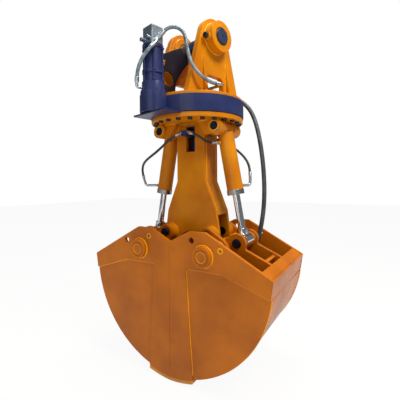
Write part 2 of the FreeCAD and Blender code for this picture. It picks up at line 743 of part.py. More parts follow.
def arc_strip(r_out, r_in, x0, x1):
    """XZ outline between two belly arcs, from X = x0 to x1 measured on the outer one."""
    a0 = math.acos((x0 - belly_c[0]) / r_out)
    a1 = math.acos((x1 - belly_c[0]) / r_out)

    def at(r, a):
        return (belly_c[0] + r * math.cos(a), belly_c[1] - r * math.sin(a))

    am = (a0 + a1) / 2.0
    return [at(r_out, a0), at(r_out, a1) + at(r_out, am), at(r_in, a1), at(r_in, a0) + at(r_in, am)]


def shell_outline():
    return [(shell_gap, z_notch), (notch_x, z_shoulder - 3.0), (shoulder_x, z_shoulder),
            (half_len, z_corner), (belly_x, z_belly),
            (shell_gap, z_lip, arc_mid[0], arc_mid[1])]


def right_shell():
    pieces = {}
    y_side = half_width - wear_t
    y_wall = y_side - side_t
    hole_hinge = cyl_y(access_hole_r, hinge_x, z_hinge, -half_width - 1, -y_wall + 1)
    hole_rod = cyl_y(access_hole_r, rod_pin_x, z_rod, -half_width - 1, -y_wall + 1)
    hole_tube = cyl_y(torsion_r + seat, tube_x, z_tube, -half_width - 1, -y_wall + 1)
    side = plate(shell_outline(), -y_side, -y_wall)
    side = side.cut(hole_hinge).cut(hole_rod).cut(hole_tube)
    pieces["side_plates"] = both_sides(side)
    # doubler over the top of the side plate, edge band down the parting line
    out_x = on_side(z_hinge - doubler_out)
    doubler = plate([(shell_gap, z_notch), (notch_x, z_shoulder - 3.0), (shoulder_x, z_shoulder),
                     (half_len, z_corner), (out_x, z_hinge - doubler_out),
                     (doubler_knee, z_hinge - doubler_low), (shell_gap, z_hinge - doubler_low)],
                    -half_width, -y_side)
    doubler = doubler.cut(hole_hinge).cut(hole_rod).cut(hole_tube)
    foot = on_arc(belly_r, band_low)
    band_mid = on_arc(belly_r, band_low / 2.0)
    band = plate([(shell_gap, z_hinge - doubler_low), (band_top, z_hinge - doubler_low), foot,
                  (shell_gap, z_lip, band_mid[0], band_mid[1])], -half_width, -y_side)
    pieces["wear_plates"] = both_sides(doubler.fuse(band))
    # belly plate between the side plates, with its straight top run
    lean = math.atan2(half_len - belly_x, corner_h)
    nx = wall_t * math.cos(lean)
    nz = wall_t * math.sin(lean)
    arc = plate(arc_strip(belly_r, belly_r - wall_t, belly_x, lip_x + 30.0), -y_wall, y_wall)
    upper = plate([(half_len, z_corner), (belly_x, z_belly), (belly_x - nx - 2.0, z_belly + 3.0),
                   (half_len - nx, z_corner + nz)], -y_wall, y_wall)
    belly = arc.fuse(upper)
    # rim along the top of the belly plate, in the slope of the side plates
    ux = math.cos(top_slope)
    uz = math.sin(top_slope)
    rim = plate([(half_len - nx - 1.0, z_corner + nz - 1.0), (half_len - rim_w * ux, z_corner + rim_w * uz),
                 (half_len - rim_w * ux - wall_t * uz, z_corner + rim_w * uz - wall_t * ux),
                 (half_len - nx - 1.0 - 4.0, z_corner - wall_t * 1.4)], -y_wall, y_wall)
    pieces["belly_plate"] = solid_of(belly.fuse(rim))
    # lip: thick cutting edge under the belly plate, across the whole width
    lip = plate(arc_strip(belly_r + lip_t, belly_r, lip_x, shell_gap), -half_width, half_width)
    inner = plate(arc_strip(belly_r, belly_r - wall_t, lip_x + 30.0, shell_gap), -y_wall, y_wall)
    lip = lip.fuse(inner)
    lip = lip.cut(box(-200, shell_gap, -400, 400, z_lip - 300, z_lip + 300))
    pieces["cutting_edge"] = solid_of(lip)
    # torsion tube right through, closed by caps outside the side plates
    tube = cyl_y(torsion_r, tube_x, z_tube, -half_width - 2.0, half_width + 2.0)
    cap = cyl_y(cap_r, tube_x, z_tube, -half_width - cap_out, -half_width - seat)
    face_edge = [e for e in cap.Edges if isinstance(e.Curve, Part.Circle) and e.Curve.Center.y < -half_width - 1.0]
    cap = cap.makeFillet(cap_round, face_edge)
    tube = tube.fuse(cap).fuse(mirror_y(cap))
    tube = tube.cut(cyl_y(torsion_r - torsion_wall, tube_x, z_tube, cap_out - half_width - 14.0,
                          half_width + 14.0 - cap_out))
    pieces["torsion_tube"] = solid_of(tube)
    # hinge arms from the torsion tube to the hinge pins, with bushes
    ring = torsion_r + seat
    arm = plate(capsule((hinge_x, z_hinge), hinge_arm_r, (tube_x, z_tube), torsion_r + 18.0),
                -arm_in - arm_t, -arm_in)
    arm = arm.cut(cyl_y(ring, tube_x, z_tube, -arm_in - arm_t - 1, -arm_in + 1))
    arm = arm.cut(cyl_y(hinge_pin_r + 8.0, hinge_x, z_hinge, -arm_in - arm_t - 1, -arm_in + 1))
    pieces["hinge_arms"] = both_sides(solid_of(arm))
    bush = cyl_y(hinge_pin_r + 8.0 - round_play, hinge_x, z_hinge, -arm_in - arm_t, -arm_in)
    bush = bush.cut(cyl_y(hinge_pin_r + round_play, hinge_x, z_hinge, -arm_in - arm_t - 1, -arm_in + 1))
    pieces["hinge_bushes"] = both_sides(bush)
    # rod cheeks from the torsion tube past the rod pin to the belly plate and rim
    cheeks = both_sides(cheek(ring, pieces["belly_plate"]))
    brace = plate([(480.0, z_rod - 86.0), (498.0, z_rod - 94.0), (470.0, z_rod - 168.0), (452.0, z_rod - 160.0)],
                  -cheek_in, cheek_in)
    pieces["rod_cheeks"] = cheeks + [brace]
    pin = cyl_y(rod_pin_r, rod_pin_x, z_rod, -cheek_in - cheek_t - 8.0, cheek_in + cheek_t + 8.0)
    pieces["rod_pin"] = pin
    return pieces


def on_side(z):
    """X of the outline's straight upper side at height z."""
    return half_len - (half_len - belly_x) * (z_corner - z) / corner_h


def cheek(ring, belly):
    r = cheek_head_r
    head_top = math.radians(40.0)
    head_low = math.radians(-20.0)
    hx = rod_pin_x + r * math.cos(head_top)
    hz = z_rod + r * math.sin(head_top)
    lx = rod_pin_x + r * math.cos(head_low)
    lz = z_rod + r * math.sin(head_low)
    rise = math.radians(100.0)
    pts = [(tube_x - 8.0, z_tube + torsion_r - 15.0),
           (rod_pin_x - r * 0.75, z_rod + r * 0.66),
           (hx, hz, rod_pin_x + r * math.cos(rise), z_rod + r * math.sin(rise)),
           (lx, lz, rod_pin_x + r, z_rod + 8.0),
           (lx + 16.0, lz - 18.0, lx + 4.0, lz - 12.0),
           (half_len - 40.0, z_rod - 113.0),
           (half_len - 60.0, z_rod - 250.0),
           (tube_x + 60.0, z_tube - torsion_r - 30.0),
           (tube_x - 8.0, z_tube - torsion_r + 15.0)]
    slab = plate(pts, -cheek_in - cheek_t, -cheek_in)
    slab = slab.fuse(cyl_y(rod_pin_r + 16.0, rod_pin_x, z_rod, -cheek_in, -eye_half - 3.0))
    slab = slab.cut(cyl_y(ring, tube_x, z_tube, -200, 0))
    slab = slab.cut(cyl_y(rod_pin_r + round_play, rod_pin_x, z_rod, -200, 0))
    slab = slab.cut(belly)
    return solid_of(biggest(slab))


def make_shells():
    pieces = right_shell()
    for name, shape in pieces.items():
        save("right_" + name, shape)
        group = shape if isinstance(shape, list) else [shape]
        save("left_" + name, [mirror_x(s) for s in group])


# ---------------------------------------------------------------- hoses
supply_route = [
    (24.0, 97.0, -262.0), (43.0, 164.0, -262.0), (82.0, 222.0, -268.0), (138.0, 262.0, -288.0),
    (204.0, 278.0, -326.0), (264.0, 272.0, -386.0), (308.0, 252.0, -466.0), (340.0, 232.0, -560.0),
    (364.0, 216.0, -662.0), (381.0, 206.0, -772.0), (390.0, 201.0, -882.0), (391.0, 200.0, -992.0),
    (384.0, 198.0, -1092.0), (370.0, 196.0, -1184.0), (350.0, 196.0, -1270.0), (336.0, 196.0, -1352.0),
    (330.0, 200.0, -1432.0)]

left_rod_route = [
    (-40.0, -150.0, -590.0), (-84.0, -150.0, -602.0), (-130.0, -150.0, -628.0), (-178.0, -150.0, -662.0),
    (-228.0, -148.0, -694.0), (-278.0, -141.0, -718.0), (-328.0, -127.0, -739.0),
    (-374.0, -105.0, -760.0), (-410.0, -79.0, -787.0), (-432.0, -55.0, -823.0), (-440.0, -32.0, -862.0)]

right_rod_route = [
    (40.0, 150.0, -590.0), (84.0, 150.0, -602.0), (130.0, 150.0, -624.0), (174.0, 151.0, -650.0),
    (214.0, 151.0, -678.0), (250.0, 149.0, -708.0), (281.0, 144.0, -740.0), (305.0, 136.0, -775.0),
    (319.0, 127.0, -814.0), (324.0, 119.0, -856.0)]

right_head_route = [
    (40.0, -150.0, -590.0), (76.0, -148.0, -602.0), (109.0, -133.0, -626.0), (138.2, -107.6, -650.5),
    (167.5, -68.7, -650.5)]

top_hose_route = [
    (-42.0, -330.0, -40.0), (-16.8, -319.3, -9.5), (19.3, -304.0, 2.5), (56.0, -288.5, -7.4),
    (82.7, -277.2, -36.4), (93.1, -272.8, -75.8), (98.0, -269.0, -118.5), (106.0, -262.5, -169.0),
    (121.0, -250.0, -220.0), (148.0, -226.0, -266.0), (178.0, -186.0, -299.0), (200.0, -136.0, -310.0),
    (212.0, -84.0, -302.0)]

side_hose_route = [
    (-49.0, -382.0, -107.0), (-64.0, -408.0, -141.0), (-88.0, -427.0, -182.0), (-114.0, -434.0, -228.0),
    (-136.0, -430.0, -276.0), (-150.0, -417.0, -320.0)]


def bent(points, r):
    """Bent steel pipe through the points, with an arc at each corner."""
    pts = [V(*p) for p in points]
    edges = []
    here = pts[0]
    for i in range(1, len(pts) - 1):
        a = pts[i] - pts[i - 1]
        b = pts[i + 1] - pts[i]
        turn = a.getAngle(b)
        back = 0.45 * min(a.Length, b.Length)
        p = pts[i] - a.normalize() * back
        q = pts[i] + b.normalize() * back
        radius = back / math.tan(turn / 2.0)
        centre = pts[i] + (b - a).normalize() * (radius / math.cos(turn / 2.0))
        middle = centre + (pts[i] - centre).normalize() * radius
        edges.append(Part.LineSegment(here, p).toShape())
        edges.append(Part.Arc(p, middle, q).toShape())
        here = q
    edges.append(Part.LineSegment(here, pts[-1]).toShape())
    ring = Part.Wire(Part.makeCircle(r, pts[0], pts[1] - pts[0]))
    return Part.Wire(edges).makePipeShell([ring], True, False).Solids[0]


def beyond(route, length):
    """Point this far past a route's first point, in line with its first run."""
    a = V(*route[0])
    b = V(*route[1])
    p = a + (a - b).normalize() * length
    return (p.x, p.y, p.z)


def hanger_point(along_pin, across, z):
    x, y = hanger_xy(along_pin, across)
    return (x, y, z)


def make_hanger_fittings():
    """Bent adaptors between the hanger's hoses and the block, motor and swivel."""
    across = -drive_centres()
    face = pinion_side + block_w / 2.0
    px, py = hanger_xy(pinion_side, across)
    out = []
    pipe = cyl(9.0, beyond(top_hose_route, 32.0), top_hose_route[0])
    out.append(biggest(pipe.cut(saved["valve_block"])))
    start = hanger_point(face, across - 20.0, z_disc + motor_h + 18.0)
    knee = hanger_point(face + 20.0, across - 20.0, z_disc + motor_h + 18.0)
    out.append(bent([start, knee, beyond(side_hose_route, 16.0), side_hose_route[0]], 9.0))
    low = beyond(side_hose_route[::-1], 26.0)
    pipe = bent([side_hose_route[-1], low, (px, py, low[2])], 9.0)
    out.append(biggest(pipe.cut(cyl_z(motor_r + 10.0 + seat, px, py, low[2] - 60, low[2] + 60))))
    knee = beyond(top_hose_route[::-1], 40.0)
    pipe = bent([top_hose_route[-1], knee, (0.0, 6.0, knee[2])], 9.0)
    out.append(biggest(pipe.cut(cyl_z(66.0 + seat, 0, 0, knee[2] - 60, knee[2] + 60))))
    start = supply_route[0]
    pipe = cyl(supply_r + 2.0, beyond(supply_route, 60.0), start)
    out.append(biggest(pipe.cut(cyl_z(66.0 + seat, 0, 0, start[2] - 60, start[2] + 60))))
    return out


def make_rod_elbow(route, aim, leg, turn):
    """Bent pipe from a barrel's rod port to the end of its hose."""
    a = port_end(port_at, aim, port_reach)
    b = port_end(port_at, aim, port_reach + leg)
    if turn:
        a = (-a[0], a[1], a[2])
        b = (-b[0], b[1], b[2])
    return bent([a, b, beyond(route[::-1], elbow_end), route[-1]], cylinder_hose_r + 1.0)


def make_hoses():
    save("supply_hose", hose(supply_route, supply_r, "supply"))
    save("left_rod_hose", hose(left_rod_route, cylinder_hose_r, "left rod"))
    save("right_rod_hose", hose(right_rod_route, cylinder_hose_r, "right rod"))
    save("right_head_hose", hose(right_head_route, cylinder_hose_r, "right head"))
    left_head_route = [(-p[0], -p[1], p[2]) for p in right_head_route]
    save("left_head_hose", hose(left_head_route, cylinder_hose_r, "left head"))
    save("motor_top_hose", hose(top_hose_route, motor_hose_r, "motor top"))
    save("motor_side_hose", hose(side_hose_route, motor_hose_r, "motor side"))
    save("hanger_hose_fittings", make_hanger_fittings())
    ends = []
    stem = box(-arm_half, arm_half, -arm_reach, arm_reach, z_arm - 60.0, z_arm + 60.0)
    for route in (left_rod_route, right_rod_route, right_head_route, left_head_route):
        ends.append(fitting(beyond(route, abs(route[0][0]) - arm_half + 5.0), route[0], 9.0, 12.0, 9.0).cut(stem))
    # the supply hose's far end hangs beside the column and turns with it
    ends.append(fitting(supply_route[-1], beyond(supply_route[::-1], 70.0), 17.0, 22.0, 24.0))
    save("column_hose_fittings", ends)
    for name, rod_route, aim, leg, head_route in (
            ("left", left_rod_route, left_port_aim, left_elbow_leg, left_head_route),
            ("right", right_rod_route, right_port_aim, right_elbow_leg, right_head_route)):
        turn = name == "left"
        elbow = make_rod_elbow(rod_route, aim, leg, turn)
        end = port_end(head_port_at, head_port_aim, port_reach)
        if turn:
            end = (-end[0], -end[1], end[2])
        reach = V(*end) - V(*head_route[-1])
        nut = fitting(head_route[-1], end, 9.0, 12.0, min(9.0, reach.Length - 2.0))
        nut = biggest(nut.cut(saved[name + "_barrel"]).cut(saved[name + "_head_hose"]))
        elbow = biggest(elbow.cut(saved[name + "_barrel"]))
        save(name + "_hose_fittings", [elbow, nut])


def make_guard():
    """Flat guard plate beside the swivel, from the motor to the hanger pin."""
    # drawn in the plane across the hanger: first value across it, second up
    pts = [(-262.0, z_disc_top), (-262.0, -104.0), (-78.0, -2.0), (-56.0, -34.0), (-22.0, -64.0),
           (-12.0, -92.0), (-72.0, -162.0), (-112.0, -226.0), (-132.0, -270.0), (-132.0, z_disc_top)]
    slab = plate(pts, 0.0, guard_t)
    slab = slab.cut(cyl_y(46.0, -190.0, -236.0, -1, guard_t + 1))
    slot = plate([(-246.0, -136.0), (-206.0, -114.0), (-214.0, -150.0), (-240.0, -172.0)], -1, guard_t + 1)
    slab = slab.cut(slot)
    # turn the drawing plane so that across-the-hanger runs along Y
    slab.rotate(V(0, 0, 0), V(0, 0, 1), 90.0)
    slab.translate(V(guard_at, 0, 0))
    save("hose_guard", on_hanger(slab))


make_hanger()
make_guard()
make_slewing_drive()
make_swivel()
save("column_bolts", make_column() + make_lugs())
make_cylinders()
make_shells()
make_hoses()
print(len(saved), "nodes", round(sum(len(s.Solids) for s in saved.values())), "solids")
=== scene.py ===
import bpy
import bmesh
import json
import math
import numpy as np
from mathutils import Matrix

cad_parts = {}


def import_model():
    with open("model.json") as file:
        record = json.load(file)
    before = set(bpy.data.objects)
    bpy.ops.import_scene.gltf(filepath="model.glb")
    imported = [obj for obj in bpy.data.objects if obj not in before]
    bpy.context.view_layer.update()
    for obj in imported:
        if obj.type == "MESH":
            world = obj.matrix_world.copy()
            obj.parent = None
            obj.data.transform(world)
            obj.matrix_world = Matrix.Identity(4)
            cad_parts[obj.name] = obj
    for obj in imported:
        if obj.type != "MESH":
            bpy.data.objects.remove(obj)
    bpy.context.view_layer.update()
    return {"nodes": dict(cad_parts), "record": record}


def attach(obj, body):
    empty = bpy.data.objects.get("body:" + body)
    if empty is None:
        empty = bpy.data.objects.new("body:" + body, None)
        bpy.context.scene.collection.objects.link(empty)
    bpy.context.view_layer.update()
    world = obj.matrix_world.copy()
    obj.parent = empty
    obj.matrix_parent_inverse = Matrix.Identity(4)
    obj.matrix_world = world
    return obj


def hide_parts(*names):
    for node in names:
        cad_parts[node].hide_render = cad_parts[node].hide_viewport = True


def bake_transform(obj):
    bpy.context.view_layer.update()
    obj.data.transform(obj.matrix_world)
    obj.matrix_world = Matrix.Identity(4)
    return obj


# Rotating clamshell bucket, dressed round its CAD frame. Metres, +Z up, the origin in the
# middle of the hanger pin. Lengths written in millimetres are turned to metres by MM.

MM = 0.001
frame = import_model()
NODES = frame["nodes"]

# ---- levels and places shared with the solids, in millimetres ----
DISC_TOP = -368.0
FLANGE = -518.0
TOP_PIN = -560.0
HINGE = -1216.0
ROD_PIN = -1253.0
TUBE = -1295.0
LIP = -2010.0
HANGER_TURN = math.radians(-14.0)
TUBE_X = 224.0
HINGE_X = 150.0
ROD_X = 328.0
TOP_PIN_X = 203.0
COLUMN_X = 104.0
COLUMN_Y = 85.0
SIDE_Y = 312.0              # outer face of a shell's side plate
WEAR_Y = 322.0              # outer face of its doubler
BELLY_X = 594.0
BELLY_Z = -1465.0
BELLY_R = 627.0
MOTOR_AT = (-102.4863, -328.3787)


# ---------------------------------------------------------------- camera and light
def set_camera():
    """Eye-level camera, off the front right corner of the row frame."""
    cam = bpy.data.objects.new("camera", bpy.data.cameras.new("camera"))
    bpy.context.scene.collection.objects.link(cam)
    heading = math.radians(30.75)
    roll = math.radians(-0.4)
    forward = np.array([-math.sin(heading), math.cos(heading), 0.0])
    right = np.array([math.cos(heading), math.sin(heading), 0.0])
    up = np.array([0.0, 0.0, 1.0])
    side = math.cos(roll) * right + math.sin(roll) * up
    over = math.cos(roll) * up - math.sin(roll) * right
    place = np.array([1.052, -1.700, -0.888]) - right * 0.019
    m = np.eye(4)
    m[:3, 0] = side
    m[:3, 1] = over
    m[:3, 2] = -forward
    m[:3, 3] = place
    cam.matrix_world = Matrix(m.tolist())
    cam.data.lens = 27.0
    cam.data.sensor_width = 36.0
    cam.data.shift_y = -0.0475
    bpy.context.scene.camera = cam


def area_light(name, place, aim, size, power, colour):
    """Soft square lamp at place, turned to aim."""
    lamp = bpy.data.lights.new(name, "AREA")
    lamp.size = size
    lamp.energy = power
    lamp.color = colour
    o = bpy.data.objects.new(name, lamp)
    bpy.context.scene.collection.objects.link(o)
    back = np.array(place) - np.array(aim)
    back = back / np.linalg.norm(back)
    side = np.cross((0.0, 0.0, 1.0), back)
    side = side / np.linalg.norm(side)
    m = np.eye(4)
    m[:3, 0] = side
    m[:3, 1] = np.cross(back, side)
    m[:3, 2] = back
    m[:3, 3] = place
    o.matrix_world = Matrix(m.tolist())


set_camera()


# ---------------------------------------------------------------- materials
def linear(code):
    """sRGB hex code as linear RGBA."""
    c = np.array([int(code[i:i + 2], 16) for i in (1, 3, 5)]) / 255.0
    c = np.where(c <= 0.04045, c / 12.92, ((c + 0.055) / 1.055) ** 2.4)
    return (float(c[0]), float(c[1]), float(c[2]), 1.0)


def add(tree, kind, settings=None, links=None):
    """Adds a node: settings go to its attributes or its inputs, links are {input: output}."""
    n = tree.nodes.new(kind)
    for key, value in (settings or {}).items():
        if isinstance(key, str) and hasattr(n, key):
            setattr(n, key, value)
        else:
            n.inputs[key].default_value = value
    for key, value in (links or {}).items():
        tree.links.new(value, n.inputs[key])
    return n


def blank(name):
    """New material with its Principled shader and Object coordinates."""
    m = bpy.data.materials.new(name)
    m.use_nodes = True
    tree = m.node_tree
    shader = tree.nodes["Principled BSDF"]
    place = add(tree, "ShaderNodeTexCoord").outputs["Object"]
    return m, tree, shader, place


def ramp(tree, factor, stops):
    """Colour ramp through (position, hex) stops."""
    n = add(tree, "ShaderNodeValToRGB", links={"Fac": factor})
    band = n.color_ramp
    while len(band.elements) < len(stops):
        band.elements.new(0.5)
    for element, (at, code) in zip(band.elements, stops):
        element.position = at
        element.color = linear(code)
    return n.outputs["Color"]


def noise(tree, place, size_mm, detail=2.0, rough=0.5):
    """Noise whose blotches are about size_mm across."""
    return add(tree, "ShaderNodeTexNoise", {"Scale": 1.0 / (size_mm * MM), "Detail": detail,
                                            "Roughness": rough}, {"Vector": place}).outputs["Fac"]


def bumped(tree, shader, heights):
    """Chains bumps of (height output, depth in mm) on to the shader's normal."""
    last = None
    for height, depth in heights:
        links = {"Height": height}
        if last is not None:
            links["Normal"] = last
        last = add(tree, "ShaderNodeBump", {"Strength": 1.0, "Distance": depth * MM},
                   links).outputs["Normal"]
    tree.links.new(last, shader.inputs["Normal"])


def enamel(name, base, deep, dust, gloss=0.3, dust_amount=0.5):
    """Machinery enamel sprayed on steel plate: full colour with slow changes of film
    thickness, orange peel, dull grime in random patches, and a soft wet-look gloss."""
    m, tree, shader, place = blank(name)
    film = noise(tree, place, 260.0, 3.0)
    colour = ramp(tree, film, [(0.32, deep), (0.62, base)])
    grime = noise(tree, place, 70.0, 6.0, 0.65)
    mask = add(tree, "ShaderNodeMapRange", {"From Min": 0.56, "From Max": 0.82, "To Max": dust_amount},
               {"Value": grime}).outputs["Result"]
    colour = add(tree, "ShaderNodeMix", {"data_type": "RGBA", 7: linear(dust)},
                 {0: mask, 6: colour}).outputs[2]
    tree.links.new(colour, shader.inputs["Base Color"])
    rough = add(tree, "ShaderNodeMapRange", {"To Min": gloss, "To Max": gloss + 0.22},
                {"Value": grime}).outputs["Result"]
    tree.links.new(rough, shader.inputs["Roughness"])
    shader.inputs["Specular IOR Level"].default_value = 0.22
    shader.inputs["Coat Weight"].default_value = 0.07
    shader.inputs["Coat Roughness"].default_value = 0.15
    # orange peel on real enamel is 1 to 2 mm across; drawn at 7 mm so that it shows
    bumped(tree, shader, [(noise(tree, place, 7.0, 1.0), 0.12), (noise(tree, place, 90.0, 1.0), 0.9)])
    return m


def bare_steel(name, light, dark, rough, streak=(1.0, 1.0, 1.0), depth=0.05):
    """Bare or plated steel: metallic, with fine machining marks along one direction."""
    m, tree, shader, place = blank(name)
    drawn = add(tree, "ShaderNodeMapping", {"Scale": streak}, {"Vector": place}).outputs["Vector"]
    marks = noise(tree, drawn, 6.0, 4.0, 0.6)
    tree.links.new(ramp(tree, marks, [(0.3, dark), (0.7, light)]), shader.inputs["Base Color"])
    shader.inputs["Metallic"].default_value = 1.0
    spread = add(tree, "ShaderNodeMapRange", {"To Min": rough, "To Max": rough + 0.18},
                 {"Value": noise(tree, place, 30.0, 3.0)}).outputs["Result"]
    tree.links.new(spread, shader.inputs["Roughness"])
    bumped(tree, shader, [(marks, depth)])
    return m


def rubber(name, light, dark, rough):
    """Moulded hydraulic hose cover: wrapped-cloth print as a fine grain, chalky where rubbed."""
    m, tree, shader, place = blank(name)
    rubbed = noise(tree, place, 45.0, 4.0, 0.6)
    tree.links.new(ramp(tree, rubbed, [(0.35, dark), (0.72, light)]), shader.inputs["Base Color"])
    shader.inputs["Roughness"].default_value = rough
    bumped(tree, shader, [(noise(tree, place, 2.5, 2.0), 0.15)])
    return m


def worn_enamel(name, base, deep, metal, wear_at):
    """Enamel rubbed through to steel towards the cutting edge: its height decides the wear."""
    m, tree, shader, place = blank(name)
    colour = ramp(tree, noise(tree, place, 260.0, 3.0), [(0.32, deep), (0.62, base)])
    tree.links.new(colour, shader.inputs["Base Color"])
    tree.links.new(noise(tree, place, 40.0, 3.0), shader.inputs["Roughness"])
    shader.inputs["Coat Weight"].default_value = 0.2
    steel = add(tree, "ShaderNodeBsdfPrincipled", {"Base Color": linear(metal), "Metallic": 1.0,
                                                   "Roughness": 0.42})
    height = add(tree, "ShaderNodeSeparateXYZ", links={0: place}).outputs["Z"]
    edge = add(tree, "ShaderNodeMapRange", {"From Min": (wear_at - 6.0) * MM, "From Max": (wear_at + 26.0) * MM,
                                            "To Min": 1.0, "To Max": 0.0}, {"Value": height}).outputs["Result"]
    patch = noise(tree, place, 22.0, 5.0, 0.7)
    worn = add(tree, "ShaderNodeMath", {"operation": "ADD"}, {0: edge, 1: patch}).outputs[0]
    bare = add(tree, "ShaderNodeMapRange", {"From Min": 0.95, "From Max": 1.05}, {"Value": worn}).outputs["Result"]
    mixed = add(tree, "ShaderNodeMixShader", links={0: bare, 1: shader.outputs[0], 2: steel.outputs[0]})
    out = tree.nodes["Material Output"]
    tree.links.new(mixed.outputs[0], out.inputs["Surface"])
    bumped(tree, shader, [(noise(tree, place, 7.0, 1.0), 0.12)])
    return m


# Chrome-yellow machinery enamel on the shells' welded plate: warm, slightly orange where the film is thick. It is
# the darker of two copies of one paint, a painted shade for the shade on the shells' front faces
shell_enamel_painted_shade = enamel("chrome_yellow_enamel_painted_shade", "#C46C00", "#A85800", "#64430E", 0.27, 0.2)
# the same paint on the column, cylinders and hanger as the lighter copy: painted light for the light those parts
# catch
column_enamel_painted_light = enamel("orange_yellow_enamel_painted_light", "#D98800", "#BE6A00", "#7C5414", 0.28, 0.25)
# Enamel over the weld beads, made brighter than the plate's paint as a painted highlight along the beads; the pin
# collars, access bushes and cap rings take it for painted highlight rings
bead_enamel_painted_highlight = enamel("weld_bead_enamel", "#EDA61C", "#D88A08", "#8A6218", 0.22, 0.1)
# Navy enamel on the slewing drive: nearly black in shade, blue where light grazes it
navy_enamel = enamel("navy_enamel", "#2B3566", "#1C2348", "#565A6C", 0.24, 0.3)
# Satin black enamel on the guard plate, made near-black also to stand for the shade on the left ear's inner face
# around it: partly the plate's paint, partly painted shade
black_enamel_and_painted_shade = enamel("satin_black_enamel", "#1C1826", "#110E18", "#3C3842", 0.36, 0.3)
# Cutting lips: enamel that has rubbed off the very edge and shows the steel
lip_enamel = worn_enamel("lip_enamel", "#DE9210", "#BC7004", "#8C8780", LIP - 27.0)
# Turned pin ends, phosphate blued: grey with a blue cast
pin_steel = bare_steel("blued_pin_steel", "#6C7A9E", "#48547A", 0.34)
# Pin ends in the lugs and hinges: the same steel, made darker
dark_pin_steel = bare_steel("darkened_pin_steel", "#363C50", "#1E2232", 0.36)
# Black-oxide bolts
bolt_steel = bare_steel("black_oxide_bolts", "#55524E", "#36332F", 0.42)
# Turned steel of glands, pistons and bushes
turned_steel = bare_steel("turned_steel", "#B4B2AE", "#8E8C88", 0.28)
# Cut gear steel, oiled
gear_steel = bare_steel("oiled_gear_steel", "#7C7870", "#57534C", 0.3)
# Hard chrome on the rods: near mirror with faint grinding marks round the rod
rod_chrome = bare_steel("hard_chrome", "#E4E5E6", "#D2D3D5", 0.08, (1.0, 1.0, 6.0), 0.01)
# Tin bronze bushes
bush_bronze = bare_steel("tin_bronze", "#C08A48", "#93652E", 0.34)
# Zinc-plated adaptors and crimped hose ends: bright with a bluish passivate
zinc_plate = bare_steel("zinc_plate", "#C9CFD4", "#9BA4AC", 0.24)
# Zinc-plated valve block, a little duller
block_steel = bare_steel("plated_valve_block", "#AEB8C2", "#7E8A98", 0.3)
# Rubber hose cover
hose_cover = rubber("hose_cover_rubber", "#4A525A", "#272C31", 0.5)
cylinder_cover = rubber("cylinder_hose_rubber", "#3B3A3A", "#201F20", 0.46)


def sleeve():
    """Textured polyester sleeve over a hose: silver-grey yarns woven round and along it.
    The weave follows the hose's own UV map, V round it and U along it."""
    m, tree, shader, place = blank("woven_hose_sleeve")
    uv = add(tree, "ShaderNodeTexCoord").outputs["UV"]
    # real yarns are 1 mm wide; drawn 5 mm wide so that the weave shows
    weave = add(tree, "ShaderNodeTexChecker", {"Scale": 1.0}, {"Vector": add(
        tree, "ShaderNodeMapping", {"Scale": (14.0, 14.0, 1.0)}, {"Vector": uv}).outputs["Vector"]})
    tone = noise(tree, place, 30.0, 4.0, 0.6)
    colour = ramp(tree, tone, [(0.3, "#5E6E7A"), (0.7, "#9FB0BC")])
    colour = add(tree, "ShaderNodeMix", {"data_type": "RGBA", 7: linear("#4C5A66")},
                 {0: add(tree, "ShaderNodeMath", {"operation": "MULTIPLY", 1: 0.4},
                         {0: weave.outputs["Fac"]}).outputs[0], 6: colour}).outputs[2]
    tree.links.new(colour, shader.inputs["Base Color"])
    shader.inputs["Roughness"].default_value = 0.42
    shader.inputs["Metallic"].default_value = 0.35
    bumped(tree, shader, [(weave.outputs["Fac"], 0.5)])
    return m


hose_sleeve = sleeve()


# ---------------------------------------------------------------- making pieces
def finished(name, mesh, material, body):
    """Links a mesh as a piece that rides on a body, with its material and material slot."""
    mesh.materials.clear()
    mesh.materials.append(material)
    o = bpy.data.objects.new(name, mesh)
    bpy.context.scene.collection.objects.link(o)
    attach(o, body)
    return o


def grid(points, round_u=False, round_v=False):
    """Vertices and quads of a grid of points (rows, columns, 3); round_u closes the rows
    into a loop and round_v the columns."""
    n, m = points.shape[:2]
    i = np.arange(n if round_u else n - 1)[:, None]
    j = np.arange(m if round_v else m - 1)[None, :]
    i2 = (i + 1) % n
    j2 = (j + 1) % m
    quads = np.stack([i * m + j, i * m + j2, i2 * m + j2, i2 * m + j], axis=-1).reshape(-1, 4)
    return points.reshape(-1, 3), quads


def mesh_of(name, parts, join=1e-6):
    """One mesh of several (vertices, faces) parts; poles and seams are merged and its
    normals made to point outwards."""
    vertices = []
    faces = []
    count = 0
    for v, f in parts:
        vertices.append(v)
        faces.extend((np.asarray(f) + count).tolist())
        count += len(v)
    mesh = bpy.data.meshes.new(name)
    mesh.from_pydata(np.concatenate(vertices).tolist(), [], faces)
    b = bmesh.new()
    b.from_mesh(mesh)
    bmesh.ops.remove_doubles(b, verts=b.verts, dist=join)
    bmesh.ops.recalc_face_normals(b, faces=b.faces)
    b.to_mesh(mesh)
    b.free()
    return mesh


def shaded(mesh, angle=38.0):
    """Smooth shading with edges sharper than angle kept."""
    mesh.shade_smooth()
    mesh.set_sharp_from_angle(angle=math.radians(angle))


